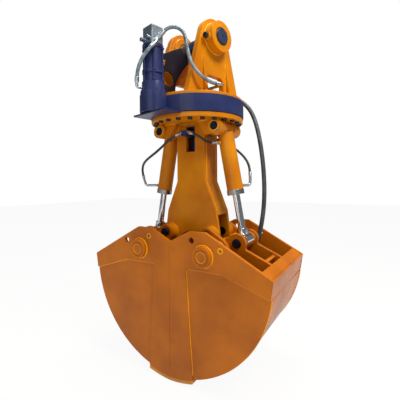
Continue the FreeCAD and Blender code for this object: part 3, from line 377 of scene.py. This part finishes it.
def softened(node, material, width, segments=3, angle=34.0, name=None, split=None):
    """A CAD node's shape with its triangles joined to plain faces and its edges rounded by
    width millimetres, standing for that node. split keeps the solids on one side of a level:
    (height in mm, +1 for those above it or -1 for those below)."""
    source = NODES[node]
    mesh = source.data.copy()
    mesh.name = node
    mesh.materials.clear()
    mesh.materials.append(material)
    b = bmesh.new()
    b.from_mesh(mesh)
    bmesh.ops.remove_doubles(b, verts=b.verts, dist=2e-6)
    if split:
        level, sign = split
        gone = [v for v in b.verts if (v.co.z - level * MM) * sign < 0.0]
        bmesh.ops.delete(b, geom=gone, context="VERTS")
    bmesh.ops.dissolve_limit(b, angle_limit=math.radians(0.8), verts=b.verts, edges=b.edges,
                             use_dissolve_boundaries=False)
    b.to_mesh(mesh)
    b.free()
    shaded(mesh, angle)
    o = bpy.data.objects.new(name or node + "_dressed", mesh)
    bpy.context.scene.collection.objects.link(o)
    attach(o, BODY_OF[node])
    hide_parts(node)
    if width > 0:
        bevel = o.modifiers.new("rounded", "BEVEL")
        bevel.width = width * MM
        bevel.segments = segments
        bevel.limit_method = "ANGLE"
        bevel.angle_limit = math.radians(angle)
        bevel.harden_normals = True
        bevel.miter_outer = "MITER_ARC"
    return o


BODY_OF = {}
for body_name, body_facts in frame["record"]["behaviour"]["bodies"].items():
    for node_name in (body_facts if isinstance(body_facts, list) else body_facts["nodes"]):
        BODY_OF[node_name] = body_name


def hanger_frame(points):
    """Points drawn square to the hanger (along its pin, across it, up), turned to the row frame."""
    p = np.asarray(points, float)
    c = math.cos(HANGER_TURN)
    s = math.sin(HANGER_TURN)
    return np.stack([p[..., 0] * c - p[..., 1] * s, p[..., 0] * s + p[..., 1] * c, p[..., 2]], axis=-1)


def turned(profile, place, axis, count=48):
    """Surface of revolution: each profile row (radius, height) in mm becomes a ring round
    the axis through place; the first and last rows may have radius 0, which is a pole."""
    p = np.asarray(profile, float)
    axis = np.asarray(axis, float) / np.linalg.norm(axis)
    side = np.cross(axis, (0.0, 0.0, 1.0) if abs(axis[2]) < 0.9 else (1.0, 0.0, 0.0))
    side = side / np.linalg.norm(side)
    other = np.cross(axis, side)
    a = np.arange(count) * 2.0 * math.pi / count
    ring = np.cos(a)[:, None] * side + np.sin(a)[:, None] * other
    points = np.asarray(place, float) + p[:, 1, None, None] * axis + p[:, 0, None, None] * ring
    return grid(points * MM, round_v=True)


def rounded_profile(corners, radius, steps=4):
    """A profile of straight runs whose inner corners are rounded: each corner becomes a
    quadratic curve between points radius before and after it."""
    c = np.asarray(corners, float)
    out = [c[:1]]
    t = np.linspace(0.0, 1.0, steps + 1)[:, None]
    for a, b, d in zip(c[:-2], c[1:-1], c[2:]):
        r1 = min(radius, 0.45 * np.linalg.norm(b - a))
        r2 = min(radius, 0.45 * np.linalg.norm(d - b))
        p = b + (a - b) / max(np.linalg.norm(a - b), 1e-9) * r1
        q = b + (d - b) / max(np.linalg.norm(d - b), 1e-9) * r2
        out.append((1 - t) ** 2 * p + 2 * t * (1 - t) * b + t ** 2 * q)
    out.append(c[-1:])
    return np.concatenate(out)


def bead(path, normal, size, ripple=6.0, sides=8):
    """Weld bead: a half-buried round cord along a path of corners (mm), of radius size, its
    radius rippled every few millimetres where each drop of metal froze, and run out to
    nothing at both ends unless the path closes on itself."""
    p = np.asarray(path, float)
    closed = np.linalg.norm(p[0] - p[-1]) < 0.01
    run = np.concatenate([[0.0], np.cumsum(np.linalg.norm(np.diff(p, axis=0), axis=1))])
    count = max(8, int(run[-1] / 2.6))
    s = np.linspace(0.0, run[-1], count)
    line = np.stack([np.interp(s, run, p[:, k]) for k in range(3)], axis=1)
    along = np.gradient(line, axis=0)
    along = along / np.linalg.norm(along, axis=1)[:, None]
    normal = np.asarray(normal, float)
    if normal.ndim == 1:
        normal = np.broadcast_to(normal, line.shape)
    else:
        normal = np.stack([np.interp(s, run, normal[:, k]) for k in range(3)], axis=1)
    across = np.cross(along, normal)
    across = across / np.maximum(np.linalg.norm(across, axis=1), 1e-9)[:, None]
    r = size * (0.86 + 0.14 * np.abs(np.sin(math.pi * s / ripple)) + 0.06 * np.sin(s / 23.0))
    if not closed:
        r = r * np.clip(np.minimum(s, run[-1] - s) / (2.0 * size) + 0.12, 0.0, 1.0)
    a = np.arange(sides) * 2.0 * math.pi / sides
    rings = (line[:, None, :] + r[:, None, None] * (np.cos(a)[None, :, None] * normal[:, None, :]
                                                    + np.sin(a)[None, :, None] * across[:, None, :]))
    if closed:
        return grid(rings[:-1] * MM, round_u=True, round_v=True)
    ends = np.concatenate([np.repeat(line[:1, None], sides, 1), rings, np.repeat(line[-1:, None], sides, 1)])
    return grid(ends * MM, round_v=True)


def circle(centre, axis, radius, count=72):
    """Closed path round an axis."""
    axis = np.asarray(axis, float)
    side = np.cross(axis, (0.0, 0.0, 1.0) if abs(axis[2]) < 0.9 else (1.0, 0.0, 0.0))
    side = side / np.linalg.norm(side)
    other = np.cross(axis, side)
    a = np.linspace(0.0, 2.0 * math.pi, count + 1)
    return np.asarray(centre, float) + radius * (np.cos(a)[:, None] * side + np.sin(a)[:, None] * other)


def hexagon_bolt(place, axis, flats, head, washer_r, washer_h=3.0):
    """Hexagon head with turned-down corners on a round washer. The head's rings have six
    corners each; the outermost is drawn in where the chamfer cuts the corners."""
    r = flats / math.sqrt(3.0)
    washer = turned([(0, 0), (washer_r - 0.6, 0), (washer_r, 0.6), (washer_r, washer_h - 0.8),
                     (washer_r - 0.8, washer_h), (0, washer_h)], place, axis, 20)
    body = turned([(0, washer_h), (r, washer_h), (r, washer_h + head - 2.2),
                   (r * 0.88, washer_h + head), (0, washer_h + head)], place, axis, 6)
    return [washer, body]


def grease_nipple(place, axis):
    """Small button-head grease nipple: hexagon foot, neck and rounded head."""
    foot = turned([(0, 0), (6.0, 0), (6.0, 5.0), (0, 5.0)], place, axis, 6)
    head = turned(rounded_profile([(0, 5.0), (4.0, 5.0), (3.2, 9.0), (4.4, 11.0), (4.0, 14.0), (0, 15.0)], 1.2),
                  place, axis, 16)
    return [foot, head]


def mirrored(part):
    """The same part across the plane X = 0."""
    v, f = part
    return v * np.array([-1.0, 1.0, 1.0]), np.asarray(f)[:, ::-1]


def across(part):
    """The same part across the plane Y = 0."""
    v, f = part
    return v * np.array([1.0, -1.0, 1.0]), np.asarray(f)[:, ::-1]


# ---------------------------------------------------------------- hoses
def spline_points(name, route):
    """Points along one smooth curve whose control points are the hose's route."""
    curve = bpy.data.curves.new(name + "_line", "CURVE")
    curve.dimensions = "3D"
    curve.resolution_u = 12
    line = curve.splines.new("NURBS")
    line.points.add(len(route) - 1)
    flat = np.ones((len(route), 4))
    flat[:, :3] = np.array(route) * MM
    line.points.foreach_set("co", flat.ravel())
    line.order_u = 3
    line.use_endpoint_u = True
    o = bpy.data.objects.new(name + "_line", curve)
    bpy.context.scene.collection.objects.link(o)
    bpy.context.view_layer.update()
    read = bpy.data.meshes.new_from_object(o.evaluated_get(bpy.context.evaluated_depsgraph_get()))
    points = np.empty(len(read.vertices) * 3)
    read.vertices.foreach_get("co", points)
    bpy.data.objects.remove(o)
    bpy.data.curves.remove(curve)
    bpy.data.meshes.remove(read)
    return points.reshape(-1, 3)


def frames_along(line):
    """Tangents and two untwisted normals along a line: each normal is the last one with its
    part along the new tangent taken out."""
    along = np.gradient(line, axis=0)
    along = along / np.linalg.norm(along, axis=1)[:, None]
    side = np.cross(along[0], (0.31, 0.17, 0.93))
    sides = []
    for t in along:
        side = side - np.dot(side, t) * t
        side = side / np.linalg.norm(side)
        sides.append(side)
    sides = np.array(sides)
    return along, sides, np.cross(along, sides)


def hose_line(name, route, radius, material, slot_name, node, bend=None, body=None, **facts):
    """A hose: rings of the given radius carried along its smooth line, closed by a flat disc
    at each end. Its UV map runs once round it, and along it in the same measure."""
    line = spline_points(name, route)
    sides = 20
    r = radius * MM
    a = np.arange(sides) * 2.0 * math.pi / sides
    _, u, v = frames_along(line)
    rings = line[:, None] + r * (np.cos(a)[None, :, None] * u[:, None] + np.sin(a)[None, :, None] * v[:, None])
    vertices, quads = grid(rings, round_v=True)
    count = len(vertices)
    mesh = bpy.data.meshes.new(name)
    caps = [list(range(sides)), list(range(count - 1, count - sides - 1, -1))]
    mesh.from_pydata(vertices.tolist(), [], quads[:, ::-1].tolist() + caps)
    run = np.concatenate([[0.0], np.cumsum(np.linalg.norm(np.diff(line, axis=0), axis=1))])
    corners = np.empty(len(mesh.loops), dtype=np.int32)
    mesh.loops.foreach_get("vertex_index", corners)
    round_at = (corners % sides) / sides
    face_of = np.repeat(np.arange(len(mesh.polygons)), [len(p.vertices) for p in mesh.polygons])
    wraps = (face_of % sides == sides - 1) & (corners % sides == 0)
    uv = np.stack([round_at + wraps, run[corners // sides] / (2.0 * math.pi * r)], axis=1)
    mesh.uv_layers.new(name="hose_uv").data.foreach_set("uv", uv.ravel())
    shaded(mesh, 60.0)
    mesh.materials.append(material)
    o = bpy.data.objects.new(name, mesh)
    bpy.context.scene.collection.objects.link(o)
    if bend:
        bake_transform(o)
    else:
        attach(o, body)
    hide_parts(node)
    return o


SUPPLY = [
    (24.0, 97.0, -262.0), (43.0, 164.0, -262.0), (82.0, 222.0, -268.0), (138.0, 262.0, -288.0),
    (204.0, 278.0, -326.0), (264.0, 272.0, -386.0), (308.0, 252.0, -466.0), (340.0, 232.0, -560.0),
    (364.0, 216.0, -662.0), (381.0, 206.0, -772.0), (390.0, 201.0, -882.0), (391.0, 200.0, -992.0),
    (384.0, 198.0, -1092.0), (370.0, 196.0, -1184.0), (350.0, 196.0, -1270.0), (336.0, 196.0, -1352.0),
    (330.0, 200.0, -1432.0)]
LEFT_ROD = [
    (-40.0, -150.0, -590.0), (-84.0, -150.0, -602.0), (-130.0, -150.0, -628.0), (-178.0, -150.0, -662.0),
    (-228.0, -148.0, -694.0), (-278.0, -141.0, -718.0), (-328.0, -127.0, -739.0),
    (-374.0, -105.0, -760.0), (-410.0, -79.0, -787.0), (-432.0, -55.0, -823.0), (-440.0, -32.0, -862.0)]
RIGHT_ROD = [
    (40.0, 150.0, -590.0), (84.0, 150.0, -602.0), (130.0, 150.0, -624.0), (174.0, 151.0, -650.0),
    (214.0, 151.0, -678.0), (250.0, 149.0, -708.0), (281.0, 144.0, -740.0), (305.0, 136.0, -775.0),
    (319.0, 127.0, -814.0), (324.0, 119.0, -856.0)]
RIGHT_HEAD = [
    (40.0, -150.0, -590.0), (76.0, -148.0, -602.0), (109.0, -133.0, -626.0), (138.2, -107.6, -650.5),
    (167.5, -68.7, -650.5)]
LEFT_HEAD = [(-x, -y, z) for x, y, z in RIGHT_HEAD]
MOTOR_TOP = [
    (-42.0, -330.0, -40.0), (-16.8, -319.3, -9.5), (19.3, -304.0, 2.5), (56.0, -288.5, -7.4),
    (82.7, -277.2, -36.4), (93.1, -272.8, -75.8), (98.0, -269.0, -118.5), (106.0, -262.5, -169.0),
    (121.0, -250.0, -220.0), (148.0, -226.0, -266.0), (178.0, -186.0, -299.0), (200.0, -136.0, -310.0),
    (212.0, -84.0, -302.0)]
MOTOR_SIDE = [
    (-49.0, -382.0, -107.0), (-64.0, -408.0, -141.0), (-88.0, -427.0, -182.0), (-114.0, -434.0, -228.0),
    (-136.0, -430.0, -276.0), (-150.0, -417.0, -320.0)]

supply_end = softened("column_hose_fittings", zinc_plate, 0.8, 2, 40.0,
                      "supply_end_fitting", (-1300.0, -1))
softened("column_hose_fittings", zinc_plate, 0.8, 2, 40.0, "swivel_fittings", (-1300.0, 1))
hose_line("supply_line", SUPPLY, 14.5, hose_cover, "hose_rubber", "supply_hose",
          bend=("hanger", "column", (0.204, 0.278, -0.326), (0.391, 0.2, -0.992)),
          length=1.448, far_end="fitting", stiffness="medium", lay="hanging",
          with_pieces=[supply_end])
hose_line("left_rod_line", LEFT_ROD, 8.0, cylinder_cover, "hose_rubber", "left_rod_hose",
          bend=("column", "left_barrel", (-0.13, -0.15, -0.628), (-0.41, -0.079, -0.787)),
          length=0.529, far_end="object", stiffness="medium", lay="hanging")
hose_line("right_rod_line", RIGHT_ROD, 8.0, cylinder_cover, "hose_rubber", "right_rod_hose",
          bend=("column", "right_barrel", (0.13, 0.15, -0.624), (0.305, 0.136, -0.775)),
          length=0.416, far_end="object", stiffness="medium", lay="hanging")
hose_line("right_head_line", RIGHT_HEAD, 8.0, cylinder_cover, "hose_rubber", "right_head_hose",
          bend=("column", "right_barrel", (0.04, -0.15, -0.59), (0.1675, -0.0687, -0.6505)),
          length=0.174, far_end="object", stiffness="medium", lay="hanging")
hose_line("left_head_line", LEFT_HEAD, 8.0, cylinder_cover, "hose_rubber", "left_head_hose",
          bend=("column", "left_barrel", (-0.04, 0.15, -0.59), (-0.1675, 0.0687, -0.6505)),
          length=0.174, far_end="object", stiffness="medium", lay="hanging")
hose_line("motor_top_line", MOTOR_TOP, 10.5, hose_sleeve, "sleeved_hose", "motor_top_hose",
          body="hanger", length=0.576, far_end="object", stiffness="medium", lay="hanging")
hose_line("motor_side_line", MOTOR_SIDE, 10.5, hose_sleeve, "sleeved_hose", "motor_side_hose",
          body="hanger", length=0.250, far_end="object", stiffness="medium", lay="hanging")


def ferrule(end, towards, hose_r, length):
    """Crimped sleeve on a hose end: a turned profile with pressed rings, from the end
    towards the hose's next point."""
    e = np.asarray(end, float)
    d = np.asarray(towards, float) - e
    r = hose_r + 2.6
    s = np.linspace(0.0, 1.0, 29)
    waves = r - 0.9 * (np.sin(s * math.pi * 5.0) ** 2 > 0.5)
    body = np.stack([waves, s * length], axis=1)
    profile = np.concatenate([[(hose_r - 1.0, 0.0), (r - 0.8, 0.0)], body[1:-1],
                              [(r - 0.8, length), (hose_r - 0.5, length)]])
    return turned(profile, e, d, 24)


def hose_ends():
    """Ferrules at both ends of every hose, on the body that end stays with."""
    groups = {
        "hanger": [(SUPPLY[0], SUPPLY[1], 14.5, 46.0), (MOTOR_TOP[0], MOTOR_TOP[1], 10.5, 30.0),
                   (MOTOR_TOP[-1], MOTOR_TOP[-2], 10.5, 34.0), (MOTOR_SIDE[0], MOTOR_SIDE[1], 10.5, 30.0),
                   (MOTOR_SIDE[-1], MOTOR_SIDE[-2], 10.5, 34.0)],
        "column": [(LEFT_ROD[0], LEFT_ROD[1], 8.0, 28.0), (RIGHT_ROD[0], RIGHT_ROD[1], 8.0, 28.0),
                   (RIGHT_HEAD[0], RIGHT_HEAD[1], 8.0, 22.0), (LEFT_HEAD[0], LEFT_HEAD[1], 8.0, 22.0),
                   (SUPPLY[-1], SUPPLY[-2], 14.5, 48.0)],
        "left_barrel": [(LEFT_ROD[-1], LEFT_ROD[-2], 8.0, 26.0), (LEFT_HEAD[-1], LEFT_HEAD[-2], 8.0, 20.0)],
        "right_barrel": [(RIGHT_ROD[-1], RIGHT_ROD[-2], 8.0, 26.0), (RIGHT_HEAD[-1], RIGHT_HEAD[-2], 8.0, 20.0)]}
    for body, ends in groups.items():
        mesh = mesh_of(body + "_ferrules", [ferrule(*e) for e in ends])
        shaded(mesh, 50.0)
        finished(body + "_ferrules", mesh, zinc_plate, body)


hose_ends()

# ---------------------------------------------------------------- carried-over shapes
# hanger and column parts take the lighter copy of the yellow paint (painted light), the shell parts further down
# the darker copy (painted shade)
softened("hanger_plate", column_enamel_painted_light, 2.5)
softened("hanger_ear_right", column_enamel_painted_light, 4.0)
softened("hanger_ear_left", column_enamel_painted_light, 4.0)
softened("hanger_pin", pin_steel, 2.5)
softened("hanger_bushes", bush_bronze, 0.8)
softened("hanger_lock_bolt", bolt_steel, 1.5)
# guard plate in near-black: its own paint plus painted shade for the shaded left ear behind it
softened("hose_guard", black_enamel_and_painted_shade, 1.5)
softened("slew_housing", navy_enamel, 2.5)
softened("slew_motor", navy_enamel, 2.5)
softened("valve_block", block_steel, 1.8)
softened("swivel_core", column_enamel_painted_light, 1.5)
softened("swivel_body", navy_enamel, 1.5)
softened("column_flange", column_enamel_painted_light, 2.5)
softened("column_front_plate", column_enamel_painted_light, 3.0)
softened("column_rear_plate", column_enamel_painted_light, 3.0)
softened("column_side_plates", column_enamel_painted_light, 2.5)
softened("cylinder_lugs", column_enamel_painted_light, 4.0)
# top and hinge pin ends in the darker copy of the pin steel
softened("top_pins", dark_pin_steel, 2.0)
softened("hinge_pins", dark_pin_steel, 2.0)
for fittings in ("hanger_hose_fittings", "left_hose_fittings", "right_hose_fittings"):
    softened(fittings, zinc_plate, 0.8, 2, 40.0)
for side in ("left_", "right_"):
    softened(side + "barrel", column_enamel_painted_light, 2.0)
    softened(side + "gland", turned_steel, 1.2)
    softened(side + "rod", rod_chrome, 1.5)
    softened(side + "side_plates", shell_enamel_painted_shade, 2.0)
    softened(side + "wear_plates", shell_enamel_painted_shade, 3.2)
    softened(side + "belly_plate", shell_enamel_painted_shade, 2.0)
    softened(side + "cutting_edge", lip_enamel, 2.5)
    softened(side + "hinge_arms", shell_enamel_painted_shade, 3.0)
    softened(side + "rod_cheeks", shell_enamel_painted_shade, 3.0)
    softened(side + "rod_pin", dark_pin_steel, 2.0)

for node, material in (("bearing_inner_race", gear_steel), ("slew_gear_ring", gear_steel),
                       ("drive_pinion", gear_steel), ("left_piston", turned_steel),
                       ("right_piston", turned_steel), ("left_hinge_bushes", bush_bronze),
                       ("right_hinge_bushes", bush_bronze)):
    for material_slot in NODES[node].material_slots:
        material_slot.material = material


# ---------------------------------------------------------------- bolts
def column_bolts():
    """Hexagon bolts with washers under the column flange, and the four pin-locking bolts."""
    parts = []
    for k in range(24):
        a = math.radians(7.5 + 15.0 * k)
        parts += hexagon_bolt((275.0 * math.cos(a), 275.0 * math.sin(a), FLANGE), (0, 0, -1), 24.0, 11.0, 15.0)
    u = math.sqrt(0.5)
    y = -100.0
    lock = hexagon_bolt((TOP_PIN_X - 68.0 * u, y, TOP_PIN - 68.0 * u), (-u, 0, -u), 21.0, 12.0, 13.0)
    for part in lock:
        parts += [part, mirrored(part), across(part), across(mirrored(part))]
    mesh = mesh_of("flange_bolts", parts)
    shaded(mesh, 30.0)
    o = finished("flange_bolts", mesh, bolt_steel, "column")
    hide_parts("column_bolts")


column_bolts()


# ---------------------------------------------------------------- torsion tubes
def torsion_tubes():
    """Torsion tube with turned end caps: each cap has a raised outer ring, a sunk ring and
    a raised middle with a sunk centre."""
    half = [(0, 343.5), (22, 343.5), (24, 346.5), (33, 346.5), (36, 342.5), (43, 342.5), (46, 348.0),
            (58, 348.0), (58, 322.0), (55, 322.0), (55, 0.0)]
    end = rounded_profile(half, 1.6, 3)
    for side, sign in (("right", 1.0), ("left", -1.0)):
        there = np.concatenate([end, end[::-1][1:] * np.array([1.0, -1.0])])
        part = turned(there, (sign * TUBE_X, 0.0, TUBE), (0, 1, 0), 72)
        mesh = mesh_of(side + "_torsion_tube_turned", [part])
        shaded(mesh, 38.0)
        o = finished(side + "_torsion_tube_turned", mesh, shell_enamel_painted_shade, side + "_shell")
        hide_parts(side + "_torsion_tube")


torsion_tubes()


# ---------------------------------------------------------------- welds
def belly_line(y, grow):
    """Path down the outside of the belly at the given Y, with its outward normals. The belly
    is a circle of radius BELLY_R through its upper corner and the lip."""
    a = np.array([BELLY_X, BELLY_Z])
    b = np.array([0.5, LIP])
    middle = (a + b) / 2.0
    half = np.linalg.norm(a - b) / 2.0
    n = np.array([-(a - b)[1], (a - b)[0]]) / (2.0 * half)
    centre = middle + n * math.sqrt(BELLY_R ** 2 - half ** 2)
    t0 = math.atan2(a[1] - centre[1], a[0] - centre[0])
    t1 = math.atan2(b[1] - centre[1], b[0] - centre[0])
    t = np.linspace(t0, t0 + 0.72 * (t1 - t0), 60)
    out = np.stack([np.cos(t), np.zeros_like(t), np.sin(t)], axis=1)
    line = np.stack([centre[0] + (BELLY_R + grow) * np.cos(t), np.full_like(t, y),
                     centre[1] + (BELLY_R + grow) * np.sin(t)], axis=1)
    return line, out


def shell_welds():
    """Fillet welds round each shell's doublers, bands, tubes, arms and cheeks, and two thin rings on each tube's
    end cap that stand as painted highlights.
    """
    front = (0.0, -1.0, 0.0)
    parts = []
    y = -SIDE_Y
    parts.append(bead([(112, y, HINGE - 160), (330, y, HINGE - 160), (594, y, HINGE - 246)], front, 4.5))
    parts.append(bead([(111, y, HINGE - 162), (130, y, -1700), (150, y, -1962)], front, 4.5))
    parts.append(bead(circle((TUBE_X, -WEAR_Y, TUBE), front, 60.0), front, 5.0))
    line, out = belly_line(-300.0, 0.0)
    parts.append(bead(line, out, 4.0))
    for arm_y in (-130.0, -160.0):
        parts.append(bead(circle((TUBE_X, arm_y, TUBE), front, 56.0), front, 5.0))
    for cheek_y in (-86.0, -112.0):
        parts.append(bead(circle((TUBE_X, cheek_y, TUBE), front, 56.0), front, 5.0))
    parts.append(bead(circle((TUBE_X, -300.0, TUBE), front, 57.0), front, 5.0))
    # thin rings on the end cap in the bright bead paint: painted highlight rings on the cap's turned steps
    parts.append(bead(circle((TUBE_X, -345.8, TUBE), front, 28.5), front, 2.0))
    parts.append(bead(circle((TUBE_X, -345.8, TUBE), front, 52.0), front, 2.0))
    parts += [across(p) for p in parts]
    for side, group in (("right", parts), ("left", [mirrored(p) for p in parts])):
        mesh = mesh_of(side + "_shell_welds", group)
        mesh.shade_smooth()
        # the beads in the brighter bead paint: a painted highlight along each seam
        finished(side + "_shell_welds", mesh, bead_enamel_painted_highlight, side + "_shell")


def column_welds():
    """Seams of the column's box, and of the lugs on it and under the flange."""
    front = (0.0, -1.0, 0.0)
    right = (1.0, 0.0, 0.0)
    down = (0.0, 0.0, -1.0)
    quarter = [
        bead([(COLUMN_X, -60, -610), (COLUMN_X, -60, -890)], right, 4.0),
        bead([(COLUMN_X, -60, -890), (180, -60, -1080)], (0.93, 0.0, 0.37), 4.0),
        bead([(0, -COLUMN_Y, FLANGE), (76, -COLUMN_Y, FLANGE)], down, 5.0),
        bead([(78, -COLUMN_Y, FLANGE), (COLUMN_X, -COLUMN_Y, -563)], front, 5.0),
        bead([(80, -128, FLANGE), (188, -128, FLANGE)], down, 5.0),
        bead([(COLUMN_X, -58, FLANGE), (COLUMN_X, -58, -604)], right, 5.0),
        bead(circle((HINGE_X, -COLUMN_Y, HINGE), front, 48.5), front, 3.0)]
    parts = quarter + [mirrored(p) for p in quarter]
    parts += [across(p) for p in parts]
    mesh = mesh_of("column_welds", parts)
    mesh.shade_smooth()
    # the seams in the brighter bead paint: a painted highlight along each
    finished("column_welds", mesh, bead_enamel_painted_highlight, "column")


def hanger_welds():
    """Welds at the feet of the ears, round their bosses and beside their ribs."""
    out_x = 163.0
    parts = []
    for x, _ in ((out_x, 1.0), (125.0, -1.0)):
        for a, b in ((-236.0, -78.0), (78.0, 236.0)):
            parts.append(bead(hanger_frame([(x, a, DISC_TOP), (x, b, DISC_TOP)]), (0.0, 0.0, 1.0), 5.5))
    along = hanger_frame([(1.0, 0.0, 0.0)])[0]
    parts.append(bead(circle(hanger_frame([(out_x, 0.0, 0.0)])[0], along, 93.0), along, 5.0))
    for y in (-118.0, -98.0, 98.0, 118.0):
        lean = 38.0 / 250.0
        parts.append(bead(hanger_frame([(out_x, y, DISC_TOP), (out_x, y, DISC_TOP + 244.0)]), along, 4.0))
        parts.append(bead(hanger_frame([(out_x, y, DISC_TOP), (out_x + 250.0 * lean - 2.0, y, DISC_TOP)]),
                          (0.0, 0.0, 1.0), 4.0))
    other = []
    c, s = math.cos(HANGER_TURN), math.sin(HANGER_TURN)
    flip = np.array([[1 - 2 * c * c, -2 * c * s, 0.0], [-2 * c * s, 1 - 2 * s * s, 0.0], [0.0, 0.0, 1.0]])
    for v, f in parts:
        other.append((v @ flip.T, np.asarray(f)[:, ::-1]))
    mesh = mesh_of("hanger_welds", parts + other)
    mesh.shade_smooth()
    # the welds in the brighter bead paint: a painted highlight along each
    finished("hanger_welds", mesh, bead_enamel_painted_highlight, "hanger")


shell_welds()
column_welds()
hanger_welds()


# ---------------------------------------------------------------- small fittings
def collar(place, axis, inner, outer, height):
    """Turned ring standing on a face: a flat-topped profile with softened corners."""
    return turned(rounded_profile([(inner, -1.0), (inner, height), (outer, height), (outer, -1.0)], 1.0, 3),
                  place, axis, 40)


def lug_fittings():
    """Grease nipples and pin collars on the outer faces of the four cylinder lugs."""
    nipples = []
    collars = []
    for sx in (1.0, -1.0):
        for sy in (1.0, -1.0):
            out = (0.0, sy, 0.0)
            nipples += grease_nipple((sx * (TOP_PIN_X + 30.0), sy * 147.0, TOP_PIN - 22.0), out)
            collars.append(collar((sx * TOP_PIN_X, sy * 148.0, TOP_PIN), out, 26.8, 33.5, 3.5))
    mesh = mesh_of("lug_grease_nipples", nipples)
    shaded(mesh, 35.0)
    finished("lug_grease_nipples", mesh, zinc_plate, "column")
    # the pin collars take the bright bead paint: a painted highlight ring round each top pin end
    mesh = mesh_of("lug_pin_collars", collars)
    shaded(mesh, 40.0)
    finished("lug_pin_collars", mesh, bead_enamel_painted_highlight, "column")


def access_bushes():
    """Greasing bushes in one access hole of each shell: at the left shell's hinge and the
    right shell's rod pin, front and rear."""
    for side, x, z in (("left", -HINGE_X, HINGE), ("right", ROD_X, ROD_PIN)):
        rings = [collar((x, sy * (WEAR_Y - 6.0), z), (0.0, sy, 0.0), 9.0, 16.9, 7.5) for sy in (1.0, -1.0)]
        mesh = mesh_of(side + "_access_bushes", rings)
        shaded(mesh, 40.0)
        # the bushes take the bright bead paint: painted highlights on their rims
        finished(side + "_access_bushes", mesh, bead_enamel_painted_highlight, side + "_shell")


def slewing_motor_trim():
    """Tie rods with nuts round the motor's upper body and cap screws on its foot, each a
    small turned profile set round the motor's axis."""
    x, y = MOTOR_AT
    low = DISC_TOP - 20.0
    parts = []
    for k in range(6):
        a = math.radians(15.0 + 60.0 * k)
        place = (x + 60.0 * math.cos(a), y + 60.0 * math.sin(a), low + 80.0)
        parts.append(turned([(0, 0), (6.0, 0), (6.0, 196.0), (0, 196.0)], place, (0, 0, 1), 14))
        for h in (0.0, 58.0, 188.0):
            nut = (place[0], place[1], place[2] + h)
            parts.append(turned([(0, 0), (10.5, 0), (10.5, 9.0), (9.0, 10.5), (0, 10.5)], nut, (0, 0, 1), 6))
    for k in range(8):
        a = math.radians(22.5 + 45.0 * k)
        screw = (x + 66.0 * math.cos(a), y + 66.0 * math.sin(a), low + 22.0)
        if screw[0] ** 2 + screw[1] ** 2 > 300.0 ** 2:
            parts.append(turned([(0, 0), (8.0, 0), (8.0, 8.0), (7.0, 9.0), (4.4, 9.0), (4.4, 5.0), (0, 5.0)],
                                screw, (0, 0, 1), 18))
    mesh = mesh_of("slewing_motor_trim", parts)
    shaded(mesh, 35.0)
    finished("slewing_motor_trim", mesh, navy_enamel, "hanger")


def floor():
    """Pale floor under the lips, far wider than the view."""
    z = (LIP - 22.0) * MM
    mesh = bpy.data.meshes.new("floor")
    r = 14.0
    mesh.from_pydata([(-r, -r, z), (r, -r, z), (r, r, z), (-r, r, z)], [], [(0, 1, 2, 3)])
    m, tree, shader, _ = blank("studio_floor")
    shader.inputs["Base Color"].default_value = linear("#F4F4F2")
    shader.inputs["Roughness"].default_value = 0.9
    glow = add(tree, "ShaderNodeEmission", {"Color": (1, 1, 1, 1), "Strength": 1.0})
    rays = add(tree, "ShaderNodeLightPath")
    seen = add(tree, "ShaderNodeMath", {"operation": "MAXIMUM"},
               {0: rays.outputs["Is Camera Ray"], 1: rays.outputs["Is Glossy Ray"]})
    share = add(tree, "ShaderNodeMath", {"operation": "MULTIPLY", 1: 0.94}, {0: seen.outputs[0]})
    mixed = add(tree, "ShaderNodeMixShader",
                links={0: share.outputs[0], 1: shader.outputs[0], 2: glow.outputs[0]})
    tree.links.new(mixed.outputs[0], tree.nodes["Material Output"].inputs["Surface"])
    mesh.materials.append(m)
    o = bpy.data.objects.new("floor", mesh)
    bpy.context.scene.collection.objects.link(o)


def world():
    """Even grey light all round, seen as white."""
    w = bpy.data.worlds.new("studio")
    bpy.context.scene.world = w
    w.use_nodes = True
    tree = w.node_tree
    soft = tree.nodes["Background"]
    soft.inputs["Color"].default_value = linear("#D8DCE4")
    soft.inputs["Strength"].default_value = 0.26
    white = add(tree, "ShaderNodeBackground", {"Color": (1, 1, 1, 1), "Strength": 1.0})
    rays = add(tree, "ShaderNodeLightPath")
    mixed = add(tree, "ShaderNodeMixShader", links={0: rays.outputs["Is Camera Ray"], 1: soft.outputs[0],
                                                    2: white.outputs[0]})
    tree.links.new(mixed.outputs[0], tree.nodes["World Output"].inputs["Surface"])


lug_fittings()
access_bushes()
slewing_motor_trim()
floor()
world()
area_light("key", (2.6, -0.9, 2.4), (0.0, 0.0, -0.8), 1.4, 150.0, (1.0, 0.98, 0.90))
area_light("top", (0.2, 0.4, 3.0), (0.0, 0.0, -1.0), 2.2, 170.0, (1.0, 0.97, 0.86))
area_light("front", (0.6, -4.2, 0.2), (0.0, 0.0, -1.1), 2.4, 34.0, (1.0, 0.92, 0.82))

view = bpy.context.scene.view_settings
view.view_transform = "Standard"
